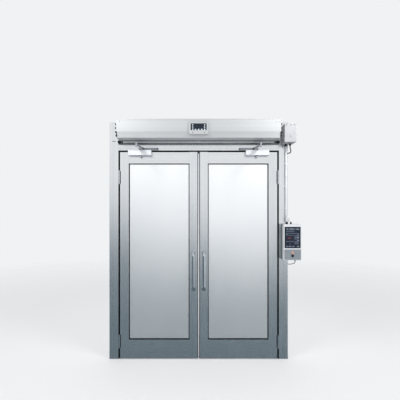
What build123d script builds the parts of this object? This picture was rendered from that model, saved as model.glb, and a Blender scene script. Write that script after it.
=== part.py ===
from build123d import *
import math
import os

os.makedirs("parts", exist_ok=True)

# A double-leaf emergency door with a roller curtain housing over it.
# All lengths are in millimetres. The origin is the middle of the left post's foot.
# +X runs along the doorway to the right, +Y into the wall and +Z up.

# Posts
post_width = 94
post_depth = 75
post_wall = 3
post_corner = 2
post_above_housing = 10
foot_thickness = 6
cap_thickness = 5
clear_width = 1624

# Gaps round the leaves
hinge_gap = 12
meeting_gap = 27
floor_gap = 8
head_gap = 12
stop_gap = 5
stop_width = 18
stop_seal_thickness = 3
lining_thickness = 2
lining_from_front = 3
lining_above_floor = 1
lining_play = 0.5

# Leaves
leaf_height = 2094
leaf_thickness = 45
leaf_skin = 2
hinge_stile_width = 90
meeting_stile_width = 80
top_rail_height = 117
bottom_rail_height = 188
stile_corner = 1.5
gasket_width = 8
gasket_depth = 21
gasket_grip = 5
panel_thickness = 12
seal_reach = 10
seal_depth = 30

# Hinges
hinge_height = 130
hinge_low_centre = 180
hinge_below_top = 258
barrel_radius = 8
barrel_stand_off = 9.5
hinge_plate = 3
hinge_plate_reach = 32
pin_radius = 5
pin_play = 0.06
pin_cap_height = 4
knuckle_gap = 0.4

# Pull handles
handle_radius = 13
handle_length = 396
handle_centre_height = 895
handle_stand_off = 62
handle_bend = 30
rose_radius = 21
rose_thickness = 5

# Door closers
closer_length = 230
closer_height = 50
closer_depth = 65
closer_above_leaf = 9
closer_from_hinge = 102
closer_corner = 4
spindle_from_hinge = 221
spindle_out = 35
spindle_boss_radius = 13
spindle_boss_height = 2
spindle_cap_radius = 10
spindle_cap_height = 14

# Closer arms
elbow_from_hinge = 219
elbow_out = 265
shoe_pivot_from_hinge = 243.7
shoe_pivot_out = 30
arm_width = 24
arm_elbow_width = 18
arm_thickness = 6
arm_play = 0.3
arm_over_boss = 4
arm_hub_radius = 14
arm_hub_cap = 2
elbow_stub_radius = 6
elbow_play = 1
forearm_over_arm = 8
forearm_width = 20
forearm_boss_radius = 12
forearm_boss_height = 4
shoe_pin_radius = 5
shoe_pin_head_radius = 8
shoe_pin_head = 3
shoe_length = 165
shoe_height = 24
shoe_plate = 6
shoe_lug_thickness = 6
shoe_lug_root_out = 7
lug_play = 0.3

# Head bar over the leaves
head_height = 60
head_wall = 3
groove_height = 6
groove_depth = 3
groove_above = 14

# Curtain housing
housing_end_gap = 20
housing_depth = 200
housing_height = 181
housing_gap = 33
housing_sheet = 2
housing_bend = 4
facet_height = 58
facet_setback = 20
housing_end_thickness = 4
back_sheet = 3
back_recess = 10
slot_width = 40
slot_from_back = 8

# Rolled curtain and its bottom bar
roll_radius = 62
shaft_radius = 15
bearing_radius = 26
bearing_depth = 10
curtain_thickness = 3
roll_end_gap = 6
bar_end_gap = 4
bar_height = 19
bar_depth = 26
bar_gap = 4
bar_corner = 3
tab_width = 36
tab_depth = 6
guide_length = 48
guide_height = 22
guide_depth = 40
guide_arm_width = 12
guide_arm_grip = 3

# Sensor over the doorway
sensor_width = 186
sensor_height = 114
sensor_proud = 12
sensor_below_top = 36
window_width = 154
window_height = 66
window_below_top = 12
window_depth = 5
window_set_in = 1
window_play = 0.3

# Junction box at the housing's right end
box_width = 116
box_height = 182
box_depth = 140
box_from_post_middle = -19
box_below_post_top = 39
box_wall = 3
box_lid = 8
box_corner = 5

# Conduit and cables
conduit_radius = 9
conduit_bore = 7.5
conduit_out = 14
conduit_from_post_middle = 25
conduit_socket_radius = 10
coupling_radius = 12
coupling_height = 22
coupling_below_box = (80, 300)
clip_below_box = 198
clip_above_trap = 86
clip_spacing = 225
clip_height = 16
clip_width = 40
clip_thickness = 2
trap_width = 38
trap_height = 50
trap_depth = 45
gland_radius = 12
gland_nut_radius = 9
gland_stem_radius = 7
gland_height = 22
gland_nut_height = 9
blank_gland_from_trap = 37
cable_radius = 5
cable_drop = 17
cable_bow = 10
cable_end_run = 16
panel_cable_radius = 3
panel_cable_from_post_middle = 111
panel_cable_out = 30
panel_cable_low = 58
panel_cable_entry = 16
knockout_from_post_middle = 32
knockout_radius = 9
knockout_height = 16
dark_gland_from_post_middle = 58
dark_gland_out = 44
gusset_width = 19
gusset_height = 46
gusset_thickness = 4

# Control panel
panel_box_width = 176
panel_box_height = 352
panel_box_bottom = 1019
panel_box_from_post_middle = -27
base_depth = 60
seam_width = 4
seam_inset = 5
cover_depth = 66
cover_wall = 9
box_skin = 3
cover_corner = 6
display_width = 158
display_height = 210
display_below_top = 24
display_thickness = 5
display_set_in = 1
flap_width = 160
flap_height = 100
flap_above_bottom = 6
flap_thickness = 3
button_radius = 13
button_height = 9
button_above_flap_bottom = 68
key_radius = 9
key_height = 7
key_above_flap_bottom = 38

# Places that follow from the sizes
front = -post_depth / 2
middle = post_width / 2 + clear_width / 2
leaf_back = front + leaf_thickness
leaf_top = floor_gap + leaf_height
head_low = leaf_top + head_gap
head_high = head_low + head_height
hinge_offset = clear_width / 2 - hinge_gap / 2
hinge_y = front - barrel_stand_off
hinge_high_centre = leaf_top - hinge_below_top
stile_outer = clear_width / 2 - hinge_gap
stile_inner = meeting_gap / 2
opening_outer = stile_outer - hinge_stile_width
opening_inner = stile_inner + meeting_stile_width
opening_low = floor_gap + bottom_rail_height
opening_high = leaf_top - top_rail_height
housing_low = head_high + housing_gap
housing_high = housing_low + housing_height
housing_length = clear_width - 2 * housing_end_gap
post_height = housing_high + post_above_housing
bar_length = clear_width - 2 * (guide_length + bar_end_gap)
housing_front = front - housing_depth
back_y = front + back_recess
arm_low = leaf_top + closer_above_leaf + arm_over_boss + spindle_boss_height
arm_high = arm_low + arm_thickness
forearm_low = arm_high + forearm_over_arm
forearm_high = forearm_low + arm_thickness
right_post_x = 2 * middle
side_names = {-1: "left", 1: "right"}


def across(side, offset):
    """X of a point that lies offset from the doorway's middle, on the given side."""
    return middle + side * offset


def keep(piece, name):
    """Label a finished piece and write it out as its own file."""
    piece.part.label = name
    export_step(piece.part, f"parts/{name}.step")


def box_between(x_pair, y_pair, z_pair, mode=Mode.ADD):
    """Extrude the upright block between two corners into the part being built."""
    with BuildSketch(Plane.XY.offset(z_pair[0])) as foot:
        with Locations(((x_pair[0] + x_pair[1]) / 2, (y_pair[0] + y_pair[1]) / 2)):
            Rectangle(abs(x_pair[1] - x_pair[0]), y_pair[1] - y_pair[0])
    extrude(foot.sketch, amount=z_pair[1] - z_pair[0], mode=mode)


def drum(x, y, low, high, radius, mode=Mode.ADD):
    """Extrude an upright cylinder into the part being built."""
    with BuildSketch(Plane.XY.offset(low)) as disc:
        with Locations((x, y)):
            Circle(radius)
    extrude(disc.sketch, amount=high - low, mode=mode)


def bar_on_path(start, end, low, start_width, end_width, thickness):
    """Extrude a flat round-ended bar between two plan points into the part being built."""
    with BuildSketch(Plane.XY.offset(low)) as outline:
        with Locations(start):
            Circle(start_width / 2)
        with Locations(end):
            Circle(end_width / 2)
        make_hull()
    extrude(outline.sketch, amount=thickness)


def bend_radii(points):
    """Give each inner point of a route the largest arc that its two runs allow."""
    radii = []
    for before, corner, after in zip(points, points[1:], points[2:]):
        run_in = Vector(*corner) - Vector(*before)
        run_out = Vector(*after) - Vector(*corner)
        half_turn = math.radians(run_in.get_angle(run_out)) / 2
        radii.append(0.45 * min(run_in.length, run_out.length) / math.tan(half_turn))
    print("cable bends", [round(radius) for radius in radii])
    return radii


# Posts: a square section on a foot, with the stop that the leaf closes on at its back edge
seal_face = leaf_back + stop_gap
stop_front = seal_face + stop_seal_thickness
stop_depth = post_depth / 2 - stop_front
stop_top = head_low - stop_width
for side in (-1, 1):
    post_x = across(side, (clear_width + post_width) / 2)
    stop_x = across(side, (clear_width - stop_width) / 2)
    stop_middle = (stop_x, stop_front + stop_depth / 2)
    with BuildPart() as post:
        with BuildSketch(Plane.XY.offset(foot_thickness)):
            with Locations((post_x, 0)):
                RectangleRounded(post_width, post_depth, post_corner)
                Rectangle(post_width - 2 * post_wall, post_depth - 2 * post_wall, mode=Mode.SUBTRACT)
        extrude(amount=post_height - foot_thickness)
        with BuildSketch(Plane.XY):
            with Locations((post_x, 0)):
                RectangleRounded(post_width, post_depth, post_corner)
        extrude(amount=foot_thickness)
        with BuildSketch(Plane.XY):
            with Locations(stop_middle):
                Rectangle(stop_width, stop_depth)
                Rectangle(stop_width - 2 * post_wall, stop_depth - 2 * post_wall, mode=Mode.SUBTRACT)
            with Locations((across(side, clear_width / 2 + post_wall / 2), stop_middle[1] - post_wall / 2)):
                Rectangle(post_wall, stop_depth - post_wall)
        extrude(amount=stop_top)
    keep(post, f"{side_names[side]}_post")

with BuildPart() as post_caps:
    for side in (-1, 1):
        with BuildSketch(Plane.XY.offset(post_height)):
            with Locations((across(side, (clear_width + post_width) / 2), 0)):
                RectangleRounded(post_width, post_depth, post_corner)
        extrude(amount=cap_thickness)
keep(post_caps, "post_caps")

# Head bar: one section from post to post, grooved in front and with a stop behind the leaves
with BuildPart() as head_bar:
    groove_low = head_low + groove_above
    with BuildSketch(Plane.YZ.offset(across(-1, clear_width / 2))):
        with BuildLine():
            Polyline(
                (front, head_low),
                (front, groove_low),
                (front + groove_depth, groove_low),
                (front + groove_depth, groove_low + groove_height),
                (front, groove_low + groove_height),
                (front, head_high),
                (post_depth / 2, head_high),
                (post_depth / 2, stop_top),
                (stop_front, stop_top),
                (stop_front, head_low),
                close=True,
            )
        make_face()
        offset(amount=-head_wall, mode=Mode.SUBTRACT)
    extrude(amount=clear_width)
keep(head_bar, "head_bar")

# Stop seals: rubber angles that line the rebate round the leaves, cut out at the hinge plates
lining_y = (front + lining_from_front, stop_front)
for side in (-1, 1):
    post_face = across(side, clear_width / 2)
    lining_face = across(side, clear_width / 2 - lining_thickness)
    stop_edge = across(side, clear_width / 2 - stop_width)
    with BuildPart() as stop_seal:
        box_between((post_face, lining_face), lining_y, (lining_above_floor, head_low))
        box_between((post_face, stop_edge), (seal_face, stop_front), (lining_above_floor, stop_top))
        for centre in (hinge_low_centre, hinge_high_centre):
            box_between(
                (post_face, lining_face),
                (lining_y[0], front + hinge_plate_reach + lining_play),
                (centre - hinge_height / 2 - lining_play, centre + hinge_height / 2 + lining_play),
                mode=Mode.SUBTRACT,
            )
    keep(stop_seal, f"{side_names[side]}_stop_seal")

with BuildPart() as head_stop_seal:
    lining_half = clear_width / 2 - lining_thickness
    lining_x = (across(-1, lining_half), across(1, lining_half))
    box_between(lining_x, lining_y, (head_low - lining_thickness, head_low))
    box_between(lining_x, (seal_face, stop_front), (stop_top, head_low))
keep(head_stop_seal, "head_stop_seal")

# Back sheet of the housing, from post to post above the head bar, with the slot's rear edge
housing_half = housing_length / 2
slot_back = front - slot_from_back
slot_front = slot_back - slot_width
slot_middle = (slot_front + slot_back) / 2
with BuildPart() as housing_back:
    box_between(
        (across(-1, clear_width / 2), across(1, clear_width / 2)),
        (back_y, back_y + back_sheet),
        (head_high, housing_high),
    )
    box_between(
        (middle - housing_half + housing_end_thickness, middle + housing_half - housing_end_thickness),
        (slot_back, back_y),
        (housing_low, housing_low + housing_sheet),
    )
keep(housing_back, "housing_back")

# Housing: a sheet folded over the curtain, open at the back and at the slot underneath
def housing_outline():
    """Add the housing's end outline, its bent corners rounded, to the sketch being drawn."""
    with BuildLine() as outline:
        Polyline(
            (back_y, housing_high),
            (housing_front, housing_high),
            (housing_front, housing_low + facet_height),
            (housing_front + facet_setback, housing_low),
            (back_y, housing_low),
            close=True,
        )
    make_face(outline.edges())
    bends = vertices().group_by(Axis.X)[0] + vertices().group_by(Axis.X)[1]
    fillet(bends, housing_bend)


with BuildPart() as housing_cover:
    cover_half = housing_half - housing_end_thickness
    with BuildSketch(Plane.YZ.offset(middle - cover_half)):
        housing_outline()
        offset(amount=-housing_sheet, kind=Kind.INTERSECTION, mode=Mode.SUBTRACT)
        with Locations((back_y, (housing_low + housing_high) / 2)):
            Rectangle(2 * housing_sheet, housing_height - 2 * housing_sheet, mode=Mode.SUBTRACT)
        with Locations(((slot_front + back_y) / 2, housing_low)):
            Rectangle(back_y - slot_front, 2 * housing_sheet, mode=Mode.SUBTRACT)
    extrude(amount=2 * cover_half)
keep(housing_cover, "housing_cover")

roll_y = slot_middle - roll_radius
roll_z = (housing_low + housing_high) / 2
for side in (-1, 1):
    outer_x = across(side, housing_half)
    inner_x = across(side, housing_half - housing_end_thickness)
    with BuildPart() as housing_end:
        with BuildSketch(Plane.YZ.offset(min(outer_x, inner_x))):
            housing_outline()
        extrude(amount=housing_end_thickness)
        with BuildSketch(Plane.YZ.offset(inner_x)):
            with Locations((roll_y, roll_z)):
                Circle(bearing_radius)
                Circle(shaft_radius + pin_play, mode=Mode.SUBTRACT)
        extrude(amount=-side * bearing_depth)
    keep(housing_end, f"{side_names[side]}_housing_end")

# Curtain: rolled on its shaft, with the last turn hanging through the slot
with BuildPart() as curtain_roll:
    shaft_half = housing_half - housing_end_thickness
    roll_half = shaft_half - bearing_depth - roll_end_gap
    with BuildSketch(Plane.YZ.offset(middle - shaft_half)):
        with Locations((roll_y, roll_z)):
            Circle(shaft_radius)
    extrude(amount=2 * shaft_half)
    with BuildSketch(Plane.YZ.offset(middle - roll_half)):
        with Locations((roll_y, roll_z)):
            Circle(roll_radius)
    extrude(amount=2 * roll_half)
    box_between(
        (middle - bar_length / 2, middle + bar_length / 2),
        (slot_middle - curtain_thickness, slot_middle),
        (housing_low - bar_gap, roll_z),
    )
keep(curtain_roll, "curtain_roll")

with BuildPart() as bottom_bar:
    bar_high = housing_low - bar_gap
    with BuildSketch(Plane.YZ.offset(middle - bar_length / 2)):
        with Locations((slot_middle, bar_high - bar_height / 2)):
            RectangleRounded(bar_depth, bar_height, bar_corner)
    extrude(amount=bar_length)
    box_between(
        (middle - tab_width / 2, middle + tab_width / 2),
        (slot_middle - bar_depth / 2 - tab_depth, slot_middle - bar_depth / 2 + bar_corner),
        (bar_high - bar_height + bar_corner, bar_high),
    )
keep(bottom_bar, "bottom_bar")

# Guides: blocks on the posts that lead the bottom bar's ends
with BuildPart() as curtain_guides:
    for side in (-1, 1):
        guide_out = clear_width / 2
        box_between(
            (across(side, guide_out - guide_length), across(side, guide_out)),
            (slot_middle - guide_depth / 2, slot_middle + guide_depth / 2),
            (housing_low - guide_height, housing_low),
        )
        box_between(
            (across(side, guide_out - guide_arm_width), across(side, guide_out)),
            (slot_middle + guide_depth / 2, front + guide_arm_grip),
            (housing_low - guide_height, housing_low),
        )
keep(curtain_guides, "curtain_guides")

# Sensor: a box bridging the housing's crease, with a dark window let into its front
sensor_high = housing_high - sensor_below_top
sensor_low = sensor_high - sensor_height
sensor_face = housing_front - sensor_proud
crease = housing_low + facet_height
facet_y = housing_front + facet_setback * (crease - sensor_low) / facet_height
window_high = sensor_high - window_below_top
window_low = window_high - window_height
with BuildPart() as sensor_plate:
    with BuildSketch(Plane.YZ.offset(middle - sensor_width / 2)):
        with BuildLine():
            Polyline(
                (housing_front, sensor_high),
                (sensor_face, sensor_high),
                (sensor_face, sensor_low),
                (facet_y, sensor_low),
                (housing_front, crease),
                close=True,
            )
        make_face()
    extrude(amount=sensor_width)
    box_between(
        (middle - window_width / 2, middle + window_width / 2),
        (sensor_face, sensor_face + window_depth),
        (window_low, window_high),
        mode=Mode.SUBTRACT,
    )
keep(sensor_plate, "sensor_plate")

with BuildPart() as sensor_window:
    box_between(
        (middle - window_width / 2 + window_play, middle + window_width / 2 - window_play),
        (sensor_face + window_set_in, sensor_face + window_depth),
        (window_low + window_play, window_high - window_play),
    )
keep(sensor_window, "sensor_window")

# Junction box on the right post, beside the housing
box_left = right_post_x + box_from_post_middle
box_right = box_left + box_width
box_high = post_height - box_below_post_top
box_low = box_high - box_height
box_face = front - box_depth + box_lid
with BuildPart() as junction_box:
    box_between((box_left, box_right), (box_face, front), (box_low, box_high))
    fillet(junction_box.edges().filter_by(Axis.Y), box_corner)
    box_between(
        (box_left + box_wall, box_right - box_wall),
        (box_face, front - box_wall),
        (box_low + box_wall, box_high - box_wall),
        mode=Mode.SUBTRACT,
    )
    drum(
        right_post_x + knockout_from_post_middle,
        front - dark_gland_out,
        box_low - knockout_height,
        box_low + box_wall,
        knockout_radius,
    )
keep(junction_box, "junction_box")

with BuildPart() as junction_lid:
    box_between((box_left, box_right), (box_face - box_lid, box_face), (box_low, box_high))
    fillet(junction_lid.edges().filter_by(Axis.Y), box_corner)
    fillet(junction_lid.faces().sort_by(Axis.Y)[0].edges(), box_lid / 4)
keep(junction_lid, "junction_lid")

with BuildPart() as box_gusset:
    gusset_right = box_left + gusset_width
    with BuildSketch(Plane.XZ.offset(-front)):
        with BuildLine():
            Polyline(
                (box_left, box_low),
                (gusset_right, box_low),
                (gusset_right, box_low - gusset_height),
                close=True,
            )
        make_face()
    extrude(amount=gusset_thickness)
keep(box_gusset, "box_gusset")

# Control panel: a base on the right post, a seam, and a deep cover in front
panel_left = right_post_x + panel_box_from_post_middle
panel_right = panel_left + panel_box_width
panel_high = panel_box_bottom + panel_box_height
base_face = front - base_depth
cover_back = base_face - seam_width
cover_face = cover_back - cover_depth
with BuildPart() as panel_base:
    box_between((panel_left, panel_right), (base_face, front), (panel_box_bottom, panel_high))
    fillet(panel_base.edges().filter_by(Axis.Y), cover_corner)
    box_between(
        (panel_left + seam_inset, panel_right - seam_inset),
        (cover_back, base_face),
        (panel_box_bottom + seam_inset, panel_high - seam_inset),
    )
    box_between(
        (panel_left + seam_inset + box_skin, panel_right - seam_inset - box_skin),
        (cover_back, front - box_skin),
        (panel_box_bottom + seam_inset + box_skin, panel_high - seam_inset - box_skin),
        mode=Mode.SUBTRACT,
    )
keep(panel_base, "panel_base")

display_high = panel_high - display_below_top
display_low = display_high - display_height
panel_middle = (panel_left + panel_right) / 2
with BuildPart() as panel_cover:
    box_between((panel_left, panel_right), (cover_face, cover_back), (panel_box_bottom, panel_high))
    fillet(panel_cover.edges().filter_by(Axis.Y), cover_corner)
    fillet(panel_cover.faces().sort_by(Axis.Y)[0].edges(), box_skin)
    box_between(
        (panel_left + cover_wall, panel_right - cover_wall),
        (cover_face + cover_wall, cover_back),
        (panel_box_bottom + cover_wall, panel_high - cover_wall),
        mode=Mode.SUBTRACT,
    )
    box_between(
        (panel_middle - display_width / 2, panel_middle + display_width / 2),
        (cover_face, cover_face + display_thickness),
        (display_low, display_high),
        mode=Mode.SUBTRACT,
    )
keep(panel_cover, "panel_cover")

with BuildPart() as panel_display:
    box_between(
        (panel_middle - display_width / 2 + window_play, panel_middle + display_width / 2 - window_play),
        (cover_face + display_set_in, cover_face + display_thickness),
        (display_low + window_play, display_high - window_play),
    )
keep(panel_display, "panel_display")

flap_low = panel_box_bottom + flap_above_bottom
flap_face = cover_face - flap_thickness
with BuildPart() as panel_flap:
    box_between(
        (panel_middle - flap_width / 2, panel_middle + flap_width / 2),
        (flap_face, cover_face),
        (flap_low, flap_low + flap_height),
    )
    fillet(panel_flap.edges().filter_by(Axis.Y), cover_corner)
    chamfer(panel_flap.faces().sort_by(Axis.Y)[0].edges(), flap_thickness / 3)
keep(panel_flap, "panel_flap")

with BuildPart() as panel_button:
    with BuildSketch(Plane.XZ.offset(-flap_face)):
        with Locations((panel_middle, flap_low + button_above_flap_bottom)):
            Circle(button_radius)
    extrude(amount=button_height)
    fillet(panel_button.faces().sort_by(Axis.Y)[0].edges(), button_height / 2)
keep(panel_button, "panel_button")

with BuildPart() as panel_key:
    with BuildSketch(Plane.XZ.offset(-flap_face)):
        with Locations((panel_middle, flap_low + key_above_flap_bottom)):
            Circle(key_radius)
    extrude(amount=key_height)
    chamfer(panel_key.faces().sort_by(Axis.Y)[0].edges(), key_height / 5)
keep(panel_key, "panel_key")

# Conduit from the junction box down to a trap box on the control panel
conduit_x = right_post_x + conduit_from_post_middle
conduit_y = front - conduit_out
trap_low = panel_high + gland_height
trap_high = trap_low + trap_height
trap_left = conduit_x - conduit_radius
conduit_top = box_low - gland_height
with BuildPart() as conduit:
    drum(conduit_x, conduit_y, trap_high, conduit_top, conduit_radius)
    for drop in coupling_below_box:
        drum(
            conduit_x,
            conduit_y,
            box_low - drop - coupling_height,
            box_low - drop,
            coupling_radius,
        )
    drum(conduit_x, conduit_y, trap_high, conduit_top, conduit_bore, mode=Mode.SUBTRACT)
    box_between((trap_left, trap_left + trap_width), (front - trap_depth, front), (trap_low, trap_high))
keep(conduit, "conduit")

clip_top = box_low - clip_below_box
clip_run = clip_top - trap_high - clip_above_trap
clip_count = max(2, 1 + round(clip_run / clip_spacing))
with BuildPart() as conduit_clips:
    for number in range(clip_count):
        clip_high = clip_top - clip_run * number / (clip_count - 1) + clip_height / 2
        box_between(
            (conduit_x - clip_width / 2, conduit_x + clip_width / 2),
            (front - clip_thickness, front),
            (clip_high - clip_height, clip_high),
        )
        drum(conduit_x, conduit_y, clip_high - clip_height, clip_high, conduit_radius + clip_thickness)
        box_between(
            (conduit_x - conduit_radius, conduit_x + conduit_radius),
            (conduit_y, front),
            (clip_high - clip_height, clip_high),
        )
        drum(
            conduit_x,
            conduit_y,
            clip_high - clip_height,
            clip_high,
            conduit_radius + window_play,
            mode=Mode.SUBTRACT,
        )
keep(conduit_clips, "conduit_clips")

# Cable glands: stepped round fittings under the junction box and on the control panel
dark_gland_x = right_post_x + dark_gland_from_post_middle
dark_gland_y = front - dark_gland_out
trap_middle = trap_left + trap_width / 2
panel_gland_y = front - trap_depth / 2
panel_cable_x = right_post_x + panel_cable_from_post_middle
panel_cable_y = front - panel_cable_out
panel_cable_top = panel_box_bottom - gland_height
with BuildPart() as cable_glands:
    drum(conduit_x, conduit_y, box_low - gland_nut_height, box_low, gland_radius)
    drum(conduit_x, conduit_y, conduit_top, box_low - gland_nut_height, conduit_socket_radius)
    drum(dark_gland_x, dark_gland_y, box_low - gland_nut_height, box_low, gland_radius)
    drum(dark_gland_x, dark_gland_y, box_low - gland_height, box_low - gland_nut_height, gland_nut_radius)
    for gland_x in (trap_middle, trap_middle + blank_gland_from_trap):
        drum(gland_x, panel_gland_y, panel_high, panel_high + gland_nut_height, gland_nut_radius)
        drum(gland_x, panel_gland_y, panel_high, trap_low, gland_stem_radius)
    drum(
        panel_cable_x,
        panel_cable_y,
        panel_box_bottom - gland_nut_height,
        panel_box_bottom,
        gland_nut_radius,
    )
    drum(panel_cable_x, panel_cable_y, panel_cable_top, panel_box_bottom, gland_stem_radius)
keep(cable_glands, "cable_glands")

# Short cable from the junction box round to the conduit's upper coupling
coupling_z = box_low - coupling_below_box[0] - coupling_height / 2
gland_bottom = box_low - gland_height
coupling_face = conduit_x + coupling_radius
cable_half_y = (dark_gland_y + conduit_y) / 2
cable_points = [
    (dark_gland_x, dark_gland_y, gland_bottom),
    (dark_gland_x, dark_gland_y, gland_bottom - cable_drop),
    (dark_gland_x + cable_bow, dark_gland_y + cable_bow / 2, (gland_bottom - cable_drop + coupling_z) / 2),
    (dark_gland_x + cable_bow, cable_half_y, coupling_z + cable_radius),
    (coupling_face + cable_end_run, conduit_y, coupling_z),
    (coupling_face, conduit_y, coupling_z),
]
with BuildPart() as box_cable:
    with BuildLine():
        FilletPolyline(*cable_points, radius=bend_radii(cable_points))
    with BuildSketch(Plane(cable_points[0], z_dir=(0, 0, -1))):
        Circle(cable_radius)
    sweep()
keep(box_cable, "box_cable")

# Thin cable from under the control panel into the post's outer side
post_outer = right_post_x + post_width / 2
entry_y = front + panel_cable_entry
entry_z = panel_box_bottom - panel_cable_low
panel_cable_points = [
    (panel_cable_x, panel_cable_y, panel_cable_top),
    (panel_cable_x, panel_cable_y, (panel_cable_top + entry_z) / 2),
    ((panel_cable_x + post_outer) / 2, (panel_cable_y + entry_y) / 2, entry_z + panel_cable_radius),
    ((panel_cable_x + 3 * post_outer) / 4, entry_y, entry_z),
    (post_outer, entry_y, entry_z),
]
with BuildPart() as panel_cable:
    with BuildLine():
        FilletPolyline(*panel_cable_points, radius=bend_radii(panel_cable_points))
    with BuildSketch(Plane(panel_cable_points[0], z_dir=(0, 0, -1))):
        Circle(panel_cable_radius)
    sweep()
keep(panel_cable, "panel_cable")

# Leaves, their hinges, handles, closers and arms
for side in (-1, 1):
    name = side_names[side]
    hinge_x = across(side, hinge_offset)
    spindle = (across(side, hinge_offset - spindle_from_hinge), front - spindle_out)
    elbow = (across(side, hinge_offset - elbow_from_hinge), front - elbow_out)
    pivot = (across(side, hinge_offset - shoe_pivot_from_hinge), front - shoe_pivot_out)
    members = {
        "hinge_stile": ((opening_outer, stile_outer), (floor_gap, leaf_top)),
        "meeting_stile": ((stile_inner, opening_inner), (floor_gap, leaf_top)),
        "top_rail": ((opening_inner, opening_outer), (opening_high, leaf_top)),
        "bottom_rail": ((opening_inner, opening_outer), (floor_gap, opening_low)),
    }
    for member_name, (offsets, heights) in members.items():
        x_pair = sorted(across(side, place) for place in offsets)
        with BuildPart() as member:
            box_between(x_pair, (front, leaf_back), heights)
            if member_name.endswith("stile"):
                fillet(member.edges().filter_by(Axis.Z), stile_corner)
            box_between(
                (x_pair[0] + leaf_skin, x_pair[1] - leaf_skin),
                (front + leaf_skin, leaf_back - leaf_skin),
                (heights[0] + leaf_skin, heights[1] - leaf_skin),
                mode=Mode.SUBTRACT,
            )
        keep(member, f"{name}_{member_name}")

    opening_x = sorted((across(side, opening_inner), across(side, opening_outer)))
    opening_middle = sum(opening_x) / 2
    opening_width = opening_x[1] - opening_x[0]
    opening_height = opening_high - opening_low
    leaf_middle_y = front + leaf_thickness / 2
    panel_width = opening_width - 2 * (gasket_width - gasket_grip)
    panel_height = opening_height - 2 * (gasket_width - gasket_grip)
    with BuildPart() as panel:
        with BuildSketch(Plane.XZ.offset(-leaf_middle_y)):
            with Locations((opening_middle, (opening_low + opening_high) / 2)):
                Rectangle(panel_width, panel_height)
        extrude(amount=panel_thickness / 2, both=True)
    keep(panel, f"{name}_panel")

    with BuildPart() as gasket:
        with BuildSketch(Plane.XZ.offset(-leaf_middle_y)):
            with Locations((opening_middle, (opening_low + opening_high) / 2)):
                Rectangle(opening_width, opening_height)
                Rectangle(
                    opening_width - 2 * gasket_width,
                    opening_height - 2 * gasket_width,
                    mode=Mode.SUBTRACT,
                )
        extrude(amount=gasket_depth / 2, both=True)
        with BuildSketch(Plane.XZ.offset(-leaf_middle_y)):
            with Locations((opening_middle, (opening_low + opening_high) / 2)):
                Rectangle(panel_width, panel_height)
        extrude(amount=panel_thickness / 2, both=True, mode=Mode.SUBTRACT)
    keep(gasket, f"{name}_gasket")

    with BuildPart() as seal:
        seal_x = sorted((across(side, stile_inner), across(side, stile_inner - seal_reach)))
        box_between(
            seal_x,
            (leaf_middle_y - seal_depth / 2, leaf_middle_y + seal_depth / 2),
            (floor_gap, leaf_top),
        )
    keep(seal, f"{name}_meeting_seal")

    # The pull is one bent bar with a rose at each end
    handle_x = across(side, stile_inner + meeting_stile_width / 2)
    handle_low = handle_centre_height - handle_length / 2 + handle_radius
    handle_high = handle_centre_height + handle_length / 2 - handle_radius
    with BuildPart() as handle:
        with BuildLine():
            FilletPolyline(
                (handle_x, front, handle_low),
                (handle_x, front - handle_stand_off, handle_low),
                (handle_x, front - handle_stand_off, handle_high),
                (handle_x, front, handle_high),
                radius=handle_bend,
            )
        with BuildSketch(Plane((handle_x, front, handle_low), z_dir=(0, -1, 0))):
            Circle(handle_radius)
        sweep()
        with BuildSketch(Plane.XZ.offset(-front)):
            with Locations((handle_x, handle_low), (handle_x, handle_high)):
                Circle(rose_radius)
        extrude(amount=rose_thickness)
    keep(handle, f"{name}_handle")

    # Hinges: the post carries the outer knuckles, the leaf the middle one and the pin
    knuckle = hinge_height / 3
    with BuildPart() as frame_hinges:
        for centre in (hinge_low_centre, hinge_high_centre):
            low = centre - hinge_height / 2
            post_face = across(side, clear_width / 2)
            plate_face = across(side, clear_width / 2 - hinge_plate)
            plate_x = sorted((post_face, plate_face))
            box_between(plate_x, (front, front + hinge_plate_reach), (low, low + hinge_height))
            for bottom in (low, low + 2 * knuckle):
                z_pair = (bottom, bottom + knuckle)
                box_between(plate_x, (hinge_y, front), z_pair)
                drum(hinge_x, hinge_y, z_pair[0], z_pair[1], barrel_radius)
            drum(hinge_x, hinge_y, low, low + hinge_height, pin_radius + pin_play, mode=Mode.SUBTRACT)
    keep(frame_hinges, f"{name}_frame_hinges")

    with BuildPart() as leaf_hinges:
        for centre in (hinge_low_centre, hinge_high_centre):
            low = centre - hinge_height / 2
            leaf_face = across(side, stile_outer)
            plate_face = across(side, stile_outer + hinge_plate)
            plate_x = sorted((leaf_face, plate_face))
            z_pair = (low + knuckle + knuckle_gap, low + 2 * knuckle - knuckle_gap)
            box_between(plate_x, (front, front + hinge_plate_reach), (low, low + hinge_height))
            box_between(plate_x, (hinge_y, front), z_pair)
            drum(hinge_x, hinge_y, z_pair[0], z_pair[1], barrel_radius)
            drum(hinge_x, hinge_y, low - pin_cap_height, low + hinge_height + pin_cap_height, pin_radius)
            drum(
                hinge_x,
                hinge_y,
                low + hinge_height + knuckle_gap,
                low + hinge_height + pin_cap_height,
                barrel_radius,
            )
            drum(hinge_x, hinge_y, low - pin_cap_height, low - knuckle_gap, barrel_radius)
    keep(leaf_hinges, f"{name}_leaf_hinges")

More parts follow.
